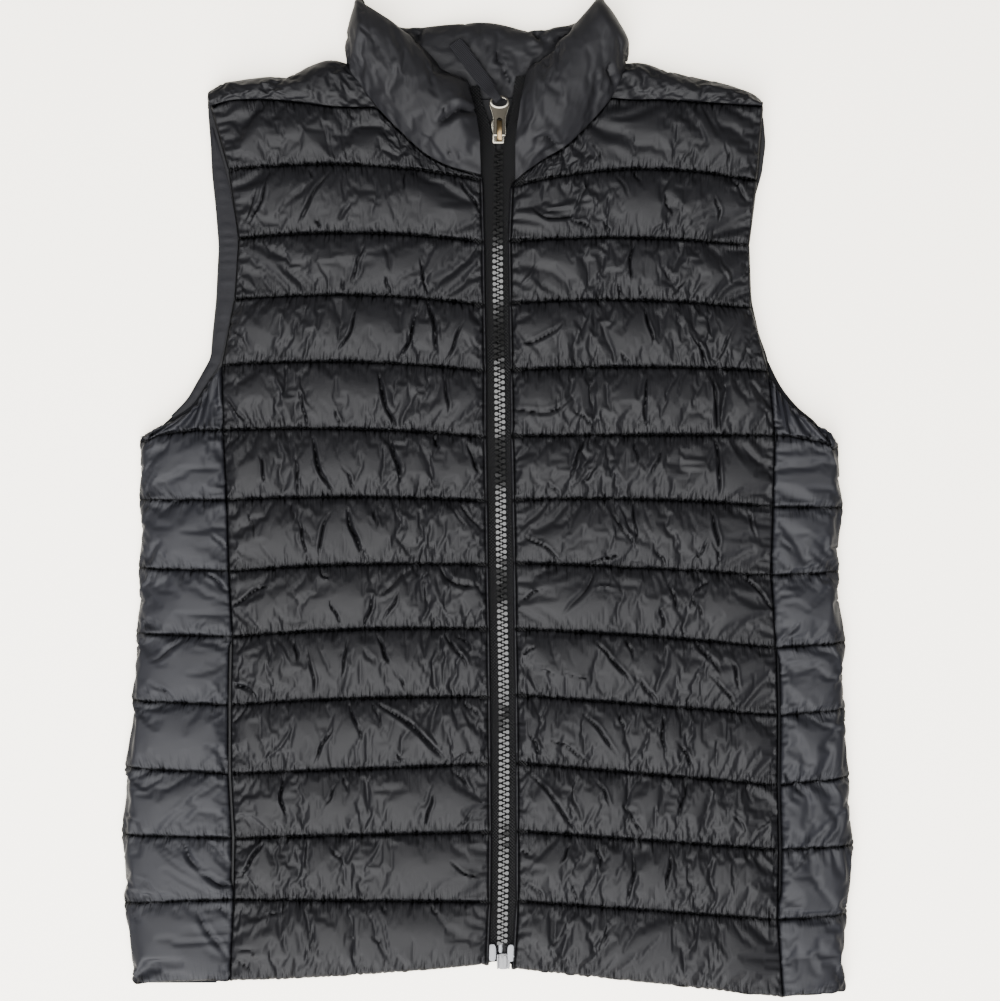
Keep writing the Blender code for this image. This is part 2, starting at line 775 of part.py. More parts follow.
def back_panel():
    """Outer, inner and kept cells of the back: flat below, rolled forward over the shoulders."""
    columns = back_columns()
    left_end, right_end = columns[0][0], columns[-1][0]
    flap_rows = 4
    outer = []
    inner = []
    for top_x, top_y, side, place in columns:
        share = (top_x - left_end) / (right_end - left_end)
        at_armhole = place == len(ACROSS) - 1
        hem_x = back_width(BACK_SIDES[0]["y"], share)
        hem_y = hem_height(hem_x)
        outer_up = [(hem_x, hem_y, UNDERSIDE_LIFT), (hem_x, hem_y + HEM_ROUND, 0.0)]
        inner_up = [(hem_x, hem_y, EDGE_INSIDE), (hem_x, hem_y + HEM_ROUND, BACK_INSIDE)]
        for level in BACK_LEVELS:
            open_edge = at_armhole and level > BACK_LEVELS[2]
            x = back_width(level, share)
            outer_up.append((x, level, UNDERSIDE_LIFT if open_edge else 0.0))
            inner_up.append((x, level, EDGE_INSIDE if open_edge else BACK_INSIDE))
        if side is None:
            outer_up += [(top_x, top_y - FLAP_DEPTH, 0.0), (top_x, top_y, UNDERSIDE_LIFT)]
            inner_up += [(top_x, top_y - FLAP_DEPTH, BACK_INSIDE), (top_x, top_y, EDGE_INSIDE)]
            outer_up += [outer_up[-1]] * flap_rows
            inner_up += [inner_up[-1]] * flap_rows
        else:
            roll_outer, roll_inner = shoulder_roll(top_x, top_y, side, place)
            outer_up += roll_outer
            inner_up += roll_inner
        outer.append(outer_up)
        inner.append(inner_up)
    cells = np.ones((len(outer) - 1, len(outer[0]) - 1), bool)
    shoulder = len(SHOULDER_FOLD)
    cells[shoulder - 1 : len(columns) - shoulder, -flap_rows:] = False
    return outer, inner, cells


# --- collar -----------------------------------------------------------------------------------


def wing_seam_point(side, station):
    """A point of the collar's lower edge, beside the neck seam of a front."""
    if station < NECK_COLUMNS:
        x, y = line_point(side, len(FRONT_LINES[side]) - 1, ACROSS[station])
        return np.array([x - SIGN[side] * WING_CLEARANCE, y + WING_CLEARANCE])
    row = WING_SEAM_ENDS[station - NECK_COLUMNS]
    return np.array([row[side + "_x"], row[side + "_y"]])


def wing_sections(side):
    """Sections of one wing, from the zip to the side fold and round it to the back."""
    inward = -SIGN[side]
    sections = []
    for station, tops in enumerate(WING_TOPS):
        low = wing_seam_point(side, station)
        high = np.array([tops[side + "_x"], tops[side + "_y"]])
        section = []
        for rise in COLLAR_RISE:
            x, y = blend(low, high, rise["up"])
            inside, top = rise["wing_inside"], rise["wing_top"]
            if station <= LAST_PLACKET_STATION:
                inside = max(inside, PLACKET_INSIDE)
                top = max(top, PLACKET_TOP)
            if station == 0:
                x += inward * WING_FRONT_BOW * math.sin(math.pi * rise["up"])
                top = PLACKET_TOP + (top - PLACKET_TOP) * WING_FRONT_LOFT
            section.append(((x, y, top), (x, y, inside)))
        sections.append(section)
    for turn in range(3):
        section = []
        for rise in COLLAR_RISE:
            x, y = rise[side + "_x"], rise[side + "_y"]
            middle = (rise["wing_inside"] + rise["inside"]) / 2
            wall = rise["wall"]
            round_off = min(FOLD_ROUND, wall * WING_FOLD_ROUND)
            outer_x = x + inward * (round_off, 0.0, round_off)[turn]
            inner_x = x + inward * (wall + 0.5, wall, wall + 0.5)[turn]
            levels = [rise["wing_top"] * share for share in WING_ROLL_LEVELS]
            top = (*levels, max(rise["under"], ROLL_UNDER))[turn]
            inside = (rise["wing_inside"], middle, rise["inside"])[turn]
            section.append(((outer_x, y, top), (inner_x, y, inside)))
        sections.append(section)
    return sections


def collar_wall():
    """Outer and inner points of the whole collar, from the left wing round to the right one."""
    back = []
    for station in COLLAR_BACK:
        low = np.array([station["seam_x"], station["seam_y"] + SEAM_GAP])
        high = np.array([station["top_x"], station["top_y"]])
        section = []
        for rise in COLLAR_RISE:
            x, y = blend(low, high, rise["up"])
            section.append(((x, y, rise["under"]), (x, y, rise["inside"])))
        back.append(section)
    sections = wing_sections("left") + back + wing_sections("right")[::-1]
    outer = [[pair[0] for pair in section] for section in sections]
    inner = [[pair[1] for pair in section] for section in sections]
    return outer, inner


# --- facing and zip ---------------------------------------------------------------------------


def armhole_facing():
    """The finished inside edge of the back that shows in the left armhole."""
    top = []
    bottom = []
    low = BACK_INSIDE + FACING_LIFT
    for edge, round_off in (("outer", FACING_ROUND), ("middle", 0.0), ("inner", 0.0)):
        line = []
        for row in FACING:
            if edge == "middle":
                line.append(((row["outer_x"] + row["inner_x"]) / 2, row["outer_y"]))
            else:
                line.append((row[edge + "_x"], row[edge + "_y"]))
        bottom.append([(x, y, low) for x, y in line])
        top.append([(x, y, low + FACING_THICKNESS - round_off) for x, y in line])
    return top, bottom


def zip_edge_x(side, y):
    """The x of a front's edge beside the zip."""
    lines = FRONT_LINES[side]
    return float(np.interp(y, column(lines, "zip_y"), column(lines, "zip_x")))


def zip_tape(side):
    """One tape: under the front's edge on one side, along the teeth on the other."""
    way = SIGN[side]
    rows = []
    for step in CHAIN_PATH:
        under = zip_edge_x(side, step["y"]) + way * TAPE_UNDERLAP
        teeth = step["x"] + way * (CHAIN_WIDTH / 2 + SEAM_GAP)
        rows.append((step["y"], under, teeth, 0.0))
    rows.insert(0, (TAPE_TAIL_Y, rows[0][1], rows[0][2] + way * TAPE_TAIL_SPREAD[side], 0.0))
    rows += [(row["y"], row["wing_x"], row["teeth_x"], row["lift"]) for row in TAPE_ENDS[side]]
    edges = [
        [(under, y, lift) for y, under, _, lift in rows],
        [(teeth, y, lift) for y, _, teeth, lift in rows],
    ]
    top = [[(x, y, TAPE_TOP + lift) for x, y, lift in edge] for edge in edges]
    bottom = [[(x, y, TAPE_BOTTOM + lift) for x, y, lift in edge] for edge in edges]
    return top, bottom


def zip_chain():
    half = CHAIN_WIDTH / 2
    edges = [
        [(row["x"] + offset, row["y"]) for row in CHAIN_PATH] for offset in (-half, half)
    ]
    top = [[(x, y, CHAIN_TOP) for x, y in edge] for edge in edges]
    bottom = [[(x, y, CHAIN_BOTTOM) for x, y in edge] for edge in edges]
    return top, bottom


def slider_plate(shrink=0.0):
    """Outline of one plate of the slider: wide shoulders above, narrower below."""
    low, high = SLIDER_LOW + shrink, SLIDER_HIGH - shrink
    half_low, half_high = SLIDER_HALF_LOW - shrink, SLIDER_HALF_HIGH - shrink
    right = [(half_low - 0.6, low), (half_low, low + 1.0), (half_low, low + 5.5)]
    right += [(half_high, high - 4.0), (half_high - 0.7, high - 1.0), (half_high - 2.0, high)]
    left = [(-across, y) for across, y in reversed(right)]
    return [(SLIDER_X + across, y) for across, y in right + left]


def bail_outline():
    """The bridge over the slider, in Y and Z: two feet and an arch that the pull hangs in."""
    y_low, y_high = SLIDER_LOW + 0.8, SLIDER_HIGH - 1.0
    foot = SLIDER_TOP_PLATE[1] - 0.6
    under = PIVOT[2] + 1.3
    over = under + BAIL_THICKNESS
    outside = [(y_low, foot), (y_low, over - 1.2), (y_low + 1.2, over)]
    outside += [(y_high - 1.2, over), (y_high, over - 1.2), (y_high, foot)]
    wall = BAIL_THICKNESS
    inside = [(y_high - wall, foot), (y_high - wall, under - 0.8), (y_high - wall - 0.8, under)]
    inside += [(y_low + wall + 0.8, under), (y_low + wall, under - 0.8), (y_low + wall, foot)]
    return outside + inside


def pull_outline():
    """Outline of the pull: a narrow shank that opens into a ring."""
    widths = column(PULL_SHAPE, "half")
    heights = column(PULL_SHAPE, "y")
    right = [(PIVOT[0] + half, y) for half, y in zip(widths, heights)]
    left = [(PIVOT[0] - half, y) for half, y in zip(widths, heights)]
    return right + left[::-1]


def pull_slot():
    """The slot that the bail passes through, round at its upper end."""
    half = PULL_SLOT_WIDTH / 2
    low = PIVOT[1] + CROSSBAR / 2
    high = low + PULL_SLOT_LENGTH
    arc = [math.pi * step / 6 for step in range(7)]
    rounded = [(PIVOT[0] + half * math.cos(a), high - half + half * math.sin(a)) for a in arc]
    return [(PIVOT[0] - half, low), (PIVOT[0] + half, low)] + rounded


def ribbon_wall():
    """The ribbon, doubled through the ring: out over the ring's bar and back under it."""
    start = np.array(PULL_EYE)
    heading = math.radians(RIBBON_HEADING)
    along = np.array([math.cos(heading), math.sin(heading)])
    aside = np.array([-math.sin(heading), math.cos(heading)])
    path = [np.array([row["out"], row["z"]]) for row in RIBBON_PATH]
    outer = []
    inner = []
    for side in (-1, 1):
        outer_line = []
        inner_line = []
        for place, row in enumerate(RIBBON_PATH):
            before = path[max(place - 1, 0)]
            after = path[min(place + 1, len(path) - 1)]
            run = (after - before) / np.linalg.norm(after - before)
            normal = np.array([run[1], -run[0]]) * RIBBON_THICKNESS / 2
            for line, step in ((outer_line, normal), (inner_line, -normal)):
                out, z = path[place] + step
                x, y = start + along * out + aside * side * row["width"] / 2
                line.append((x, y, z))
        outer.append(outer_line)
        inner.append(inner_line)
    return outer, inner


# --- the vest ---------------------------------------------------------------------------------


def build():
    clear_scene()
    vest = collection("puffer_vest")
    cutters = collection("operands")
    shell = material("black_nylon", (0.016, 0.017, 0.021), 0.42)
    side_shell = material("black_nylon_sides", (0.022, 0.023, 0.028), 0.45)
    lining = material("black_facing", (0.012, 0.012, 0.016), 0.5)
    tape = material("black_tape", (0.010, 0.010, 0.011), 0.8)
    teeth = material("black_teeth", (0.008, 0.008, 0.009), 0.35)
    metal = material("nickel", (0.60, 0.58, 0.53), 0.28, 1.0)
    ribbon = material("ribbon", (0.018, 0.018, 0.024), 0.75)
    clear = material("clear_film", (0.25, 0.25, 0.26), 0.3)

    def add_wall(name, grids, finish):
        return add_object(name, wall_mesh(name, *grids), finish, vest)

    for side in SIGN:
        add_wall(f"front_{side}", front_panel(side), shell)
        add_wall(f"side_{side}", side_panel(side), side_shell)
        add_wall(f"zip_tape_{side}", zip_tape(side), tape)
    add_wall("back", back_panel(), shell)
    add_wall("collar", collar_wall(), shell)
    add_wall("armhole_facing_left", armhole_facing(), lining)
    add_wall("zip_chain", zip_chain(), teeth)
    add_wall("pull_ribbon", ribbon_wall(), ribbon)

    slider_base = plate_mesh("zip_slider", [slider_plate()], *SLIDER_TOP_PLATE)
    slider = add_object("zip_slider", slider_base, metal, vest)
    post = circle((SLIDER_X, SLIDER_HIGH - 3.2), 1.4, 12, squash=1.4)
    bail_levels = (PIVOT[0] - BAIL_WIDTH / 2, PIVOT[0] + BAIL_WIDTH / 2)
    join_shapes(
        slider,
        [
            plate_mesh("slider_under", [slider_plate(0.2)], *SLIDER_LOW_PLATE),
            plate_mesh("slider_post", [post], SLIDER_LOW_PLATE[0] + 0.4, SLIDER_TOP_PLATE[1] - 0.4),
            plate_mesh("slider_bail", [bail_outline()], *bail_levels, upright=True),
        ],
        cutters,
    )
    eye = circle(PULL_EYE, PULL_EYE_HALF_WIDTH, 16, squash=PULL_EYE_SQUASH)
    pull_levels = (PIVOT[2] - PULL_THICKNESS / 2, PIVOT[2] + PULL_THICKNESS / 2)
    pull_mesh = plate_mesh("zip_pull", [pull_outline(), eye, pull_slot()], *pull_levels)
    add_object("zip_pull", pull_mesh, metal, vest)

    for name, outline, levels, finish in BOTTOM_PIECES:
        low, high = levels
        left, right, bottom, top = outline
        corners = [(left, bottom), (right, bottom), (right, top), (left, top)]
        mesh = plate_mesh(name, [corners], low, high)
        add_object(name, mesh, {"teeth": teeth, "film": clear}[finish], vest)


build()
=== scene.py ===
# %% [markdown]
# # A quilted vest, laid flat
#
# This notebook dresses a solid model of a child's padded vest. The solids give every piece its
# place and size; here each piece gets the surface of the real thing. The quilted panels are
# simulated as thin nylon over filling, because only the cloth itself decides where it creases.
# Sizes are in millimetres, with the origin on the table under the middle of the vest, +X to the
# right and +Y towards the collar. MM turns them into Blender's metres.

# %% Load the frame
import math

import bmesh
import bpy
import numpy as np
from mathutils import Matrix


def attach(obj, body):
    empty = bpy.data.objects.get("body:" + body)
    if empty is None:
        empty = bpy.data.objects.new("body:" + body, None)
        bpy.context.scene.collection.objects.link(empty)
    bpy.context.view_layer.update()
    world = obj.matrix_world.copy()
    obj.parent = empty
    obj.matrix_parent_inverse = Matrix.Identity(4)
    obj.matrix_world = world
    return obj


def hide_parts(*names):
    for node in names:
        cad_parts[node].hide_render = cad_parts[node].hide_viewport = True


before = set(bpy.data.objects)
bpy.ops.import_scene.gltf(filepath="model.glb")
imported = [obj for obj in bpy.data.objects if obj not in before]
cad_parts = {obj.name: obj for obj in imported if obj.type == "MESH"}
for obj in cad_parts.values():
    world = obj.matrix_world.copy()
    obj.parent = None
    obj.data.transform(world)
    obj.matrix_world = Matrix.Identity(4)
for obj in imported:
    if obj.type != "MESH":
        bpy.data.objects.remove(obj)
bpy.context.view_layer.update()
MM = 0.001
SIGN = {"left": -1.0, "right": 1.0}

# %% [markdown]
# ## Camera
#
# The vest is seen from straight above. A long lens from well over a metre keeps the edges from
# leaning, as a camera held over a table does. The lens follows from how much of the table the
# picture takes in.

# %% Camera
PICTURE_HEIGHT = 560.6
PICTURE_CENTRE = (7.0, 0.0)
FOCUS_LEVEL = 12.0
CAMERA_DISTANCE = 1600.0
SENSOR = 36.0

camera_data = bpy.data.cameras.new("camera")
camera_data.sensor_width = SENSOR
camera_data.lens = SENSOR * CAMERA_DISTANCE / PICTURE_HEIGHT
camera = bpy.data.objects.new("camera", camera_data)
bpy.context.scene.collection.objects.link(camera)
camera.location = (
    PICTURE_CENTRE[0] * MM,
    PICTURE_CENTRE[1] * MM,
    (FOCUS_LEVEL + CAMERA_DISTANCE) * MM,
)
bpy.context.scene.camera = camera
print("lens:", round(camera_data.lens, 1), "mm")

# %% [markdown]
# ## Small tools
#
# A table is easier to read with named columns, so lines of numbers become dictionaries. A smooth
# curve through a few measured rows stands for every edge and seam: a cubic with the slopes taken
# from the rows beside it passes through each one and needs no fitting.

# %% Tables and curves


def table(text):
    """Lines of numbers as dictionaries, keyed by the names in the first line."""
    names, *rows = [line.split() for line in text.strip().splitlines()]
    return [dict(zip(names, map(float, row))) for row in rows]


def column(rows, *names):
    """One column as a list, or several as an array with a row for each row of the table."""
    if len(names) == 1:
        return [row[names[0]] for row in rows]
    return np.array([[row[name] for name in names] for row in rows], float)


def blend(a, b, share):
    return np.asarray(a, float) * (1 - share) + np.asarray(b, float) * share


def curve_through(places, knots, values):
    """Values on a smooth curve through rows of values, one for each knot."""
    knots = np.asarray(knots, float)
    values = np.asarray(values, float)
    places = np.asarray(places, float)
    slopes = np.gradient(values, knots, axis=0)
    start = np.clip(np.searchsorted(knots, places) - 1, 0, len(knots) - 2)
    span = knots[start + 1] - knots[start]
    share = (places - knots[start]) / span
    if values.ndim > 1:
        grow = (slice(None),) + (None,) * (values.ndim - 1)
        share, span = share[grow], span[grow]
    ease = share * share * (3 - 2 * share)
    bend_low = share * (1 - share) ** 2 * span
    bend_high = -share * share * (1 - share) * span
    return (
        values[start] * (1 - ease)
        + values[start + 1] * ease
        + slopes[start] * bend_low
        + slopes[start + 1] * bend_high
    )


def run_of(points):
    """The length along a row of points, up to each of them."""
    steps = np.linalg.norm(np.diff(points, axis=0), axis=1)
    return np.concatenate([[0.0], np.cumsum(steps)])


def even_places(points, step=None, count=None):
    """Even places along a row of points, a step apart or count of them, and the points' own."""
    run = run_of(points)
    return np.linspace(0.0, run[-1], count or int(run[-1] / step)), run


def rounding(distance, run):
    """Share of the full height at a distance from an edge, on a quarter round."""
    inside = np.clip(np.asarray(distance, float) / run, 0.0, 1.0)
    return np.sqrt(1.0 - (1.0 - inside) ** 2)


def halve(points, breaks=()):
    """Twice as many rows along the first axis, on curves that may turn sharply at breaks."""
    stops = sorted({0, len(points) - 1, *breaks})
    finer = np.empty((2 * len(points) - 1, *points.shape[1:]))
    finer[::2] = points
    for low, high in zip(stops, stops[1:]):
        part = points[low : high + 1]
        if len(part) < 3:
            finer[2 * low + 1 : 2 * high : 2] = (part[:-1] + part[1:]) / 2
            continue
        before = 3 * part[0] - 3 * part[1] + part[2]
        after = 3 * part[-1] - 3 * part[-2] + part[-3]
        line = np.concatenate([before[None], part, after[None]])
        middle = (9 * (line[1:-2] + line[2:-1]) - line[:-3] - line[3:]) / 16
        finer[2 * low + 1 : 2 * high : 2] = middle
    return finer


print("a curve through 0, 1, 4 at 1.5:", curve_through([1.5], [0, 1, 2], [0.0, 1.0, 4.0]))

# %% [markdown]
# ## The fronts' quilting lines
#
# Each front has thirteen padded channels between lines of stitching. The lines are given by their
# two ends and how far the middle bows up, and the top edge by a point for each place across. Every
# later step, from the cloth's grid to the stitches, reads the same lines.

# %% Quilting lines of the fronts
# Where points lie across a front, from the zip to the side, and up a channel.
ACROSS = (0.0, 0.05, 0.12, 0.20, 0.29, 0.388, 0.48, 0.57, 0.66, 0.75, 0.84, 0.93, 1.0)
# Quilting lines of each front from the hem up: their ends at the zip and at the side, and how far
# the middle of the line bows up.
FRONT_LINES = {
    "left": table("""
zip_x zip_y side_x side_y bow
-0.3 -260 -144.2 -269 -1.5
1.1 -224.8 -142 -223.4 0
1.4 -185.6 -141.5 -189 0
1.1 -147.6 -143.5 -153 0
0.8 -110 -143.5 -114.5 1.5
0.3 -72 -142.8 -76.2 2
-0.3 -36 -144.8 -39.5 2
-0.8 -0.3 -145.9 0.3 2
-1.4 35.6 -148 39.5 2.5
-1.4 72.5 -148.5 75.9 3.5
-2 109.5 -141.4 112.8 4
-2.5 144.8 -139.2 147 4
-3.4 179.5 -144.8 185.1 5.8
-4.2 181.9 -155 221 0
"""),
    "right": table("""
zip_x zip_y side_x side_y bow
15.4 -262.4 165.5 -278.4 0
17.6 -224.3 162.5 -234.8 0
17.6 -185.1 163 -195.6 0
17.4 -147 162.1 -159.3 0
17.1 -108.9 162.5 -120.1 0
16.5 -72 161.6 -82.3 1.2
16 -35 158.8 -42 0.8
15.4 0.3 159.9 -3.4 2.3
14.8 36.1 161 36.4 0.5
14.3 73.1 157.3 72.6 2
13.7 110.6 147.6 108 3
13.2 145.3 146.4 143.1 3
14.5 176.4 150.9 178.9 8
16 178.8 154.2 221 0
"""),
}
# Heights on the page of the front's top edge, a row for each place in ACROSS: the neck seam as
# far as the shoulder, and then the shoulder seam.
TOP_EDGE = table("""
left right
181.9 178.8
184 184.5
187.2 191.5
193.5 198
205.4 209.5
220.6 225.4
220.4 224.5
221.2 224.7
223 224.2
224.4 223.3
224.8 222.4
224 221.6
221 221
""")
NECK_COLUMNS = 6
SEAM_LEVEL = 12.4


def line_points(side, index, shares):
    """Points on quilting line index of a front, at shares of the way from the zip to the side."""
    shares = np.asarray(shares, float)
    line = FRONT_LINES[side][index]
    x = line["zip_x"] + (line["side_x"] - line["zip_x"]) * shares
    y = line["zip_y"] + (line["side_y"] - line["zip_y"]) * shares
    y = y + line["bow"] * 4 * shares * (1 - shares)
    if index == len(FRONT_LINES[side]) - 1:
        corner = NECK_COLUMNS - 1
        edge = column(TOP_EDGE, side)
        neck = curve_through(shares, ACROSS[: corner + 1], edge[: corner + 1])
        shoulder = curve_through(shares, ACROSS[corner:], edge[corner:])
        y = np.where(shares < ACROSS[corner], neck, shoulder)
    return np.stack([x, y], 1)


for side in SIGN:
    print(side, "front:", len(FRONT_LINES[side]) - 1, "channels")

# %% [markdown]
# ## Cloth that swells
#
# A quilted panel is thin nylon sewn down along lines, with filling that pushes it up between
# them. Modelling the creases by hand would take days; displacement gives lumps, not folds. Here
# the cloth is cut a little larger than the space that it is sewn to, more so along the lines than
# across them, as a sewing machine gathers it. It is pinned on every stitched line and swollen by a
# steady pressure with no gravity. The spare cloth then buckles into creases that start at the
# stitches, as it does in the real vest. All the panels settle in one run of the timeline, and
# Blender works on them side by side.

# %% Cloth set-up
SETTLE_FRAMES = 26
CLOTH_VALUES = {
    "quality": 4,
    "mass": 0.1,
    "tension_stiffness": 12.0,
    "compression_stiffness": 12.0,
    "shear_stiffness": 4.0,
    "bending_stiffness": 0.03,
    "tension_damping": 4.0,
    "compression_damping": 4.0,
    "shear_damping": 4.0,
    "bending_damping": 0.3,
    "air_damping": 2.0,
    "use_pressure": True,
}
FIRST_WRINKLES = 0.35


def grid_faces(across, up):
    """Faces of a grid whose points are numbered up each column in turn."""
    corner = np.arange((across - 1) * up).reshape(across - 1, up)[:, :-1].ravel()
    return np.stack([corner, corner + up, corner + up + 1, corner + 1], 1)


def smooth_noise(shape, passes, seed, stretch=1):
    """Noise with a spread of 1 over a grid, averaged with its neighbours, stretched up if asked."""
    noise = np.random.default_rng(seed).normal(0.0, 1.0, shape)
    for _ in range(passes):
        noise = (noise + np.roll(noise, 1, 0) + np.roll(noise, -1, 0)) / 3
        for _ in range(stretch):
            noise = (noise + np.roll(noise, 1, 1) + np.roll(noise, -1, 1)) / 3
    return noise / noise.std()


print("frames to settle in:", SETTLE_FRAMES)

# %% Hang the cloth and let it settle
hanging = {}
settled = {}


def face_outwards(mesh):
    """Turns the faces of a closed mesh so that its pressure acts outwards."""
    turned = bmesh.new()
    turned.from_mesh(mesh)
    bmesh.ops.recalc_face_normals(turned, faces=turned.faces)
    turned.to_mesh(mesh)
    turned.free()


def hang(name, start, cut, pinned, pressure, seed, more_faces=(), hold=0.0):
    """A grid as pinned cloth, from its first shape and the shape that it was cut to."""
    start = start.copy()
    start[..., 2] += smooth_noise(start.shape[:2], 3, seed) * FIRST_WRINKLES * ~pinned
    faces = grid_faces(*start.shape[:2]).tolist() + list(more_faces)
    mesh = bpy.data.meshes.new(name + "_cloth")
    mesh.from_pydata((start.reshape(-1, 3) * MM).tolist(), [], faces)
    if more_faces:
        face_outwards(mesh)
    thing = bpy.data.objects.new(name + "_cloth", mesh)
    bpy.context.scene.collection.objects.link(thing)
    thing.shape_key_add(name="sewn")
    key = thing.shape_key_add(name="cut")
    key.data.foreach_set("co", (cut.reshape(-1) * MM).astype(np.float32))
    key.value = 0.0
    group = thing.vertex_groups.new(name="pinned")
    group.add(np.nonzero(pinned.ravel())[0].tolist(), 1.0, "REPLACE")
    if hold:
        group.add(np.nonzero(~pinned.ravel())[0].tolist(), hold, "REPLACE")
    split = thing.modifiers.new("keeps_cut_shape", "EDGE_SPLIT")
    split.use_edge_angle = False
    split.use_edge_sharp = False
    modifier = thing.modifiers.new("cloth", "CLOTH")
    for field, value in CLOTH_VALUES.items():
        setattr(modifier.settings, field, value)
    modifier.settings.vertex_group_mass = "pinned"
    modifier.settings.rest_shape_key = key
    modifier.settings.uniform_pressure_force = pressure
    modifier.settings.effector_weights.gravity = 0.0
    modifier.point_cache.frame_start = 1
    modifier.point_cache.frame_end = SETTLE_FRAMES
    hanging[name] = (thing, start)
    print(name, "cloth:", start.shape[0], "by", start.shape[1], "points")


def settle(reach):
    """Runs the timeline once, and keeps where each panel's points came to, in millimetres."""
    for step in range(1, SETTLE_FRAMES + 1):
        bpy.context.scene.frame_set(step)
    graph = bpy.context.evaluated_depsgraph_get()
    for name, (thing, start) in hanging.items():
        seen = thing.evaluated_get(graph)
        mesh = seen.to_mesh()
        points = np.empty(len(mesh.vertices) * 3)
        mesh.vertices.foreach_get("co", points)
        seen.to_mesh_clear()
        moved = points.reshape(start.shape) / MM - start
        far = np.linalg.norm(moved, axis=2, keepdims=True)
        settled[name] = start + moved * np.minimum(1.0, reach / np.maximum(far, 0.001))
        old = thing.data
        bpy.data.objects.remove(thing, do_unlink=True)
        bpy.data.meshes.remove(old)
        print(name, "swells by", round(float((settled[name] - start)[..., 2].max()), 1), "mm")
    hanging.clear()
    bpy.context.scene.frame_set(1)
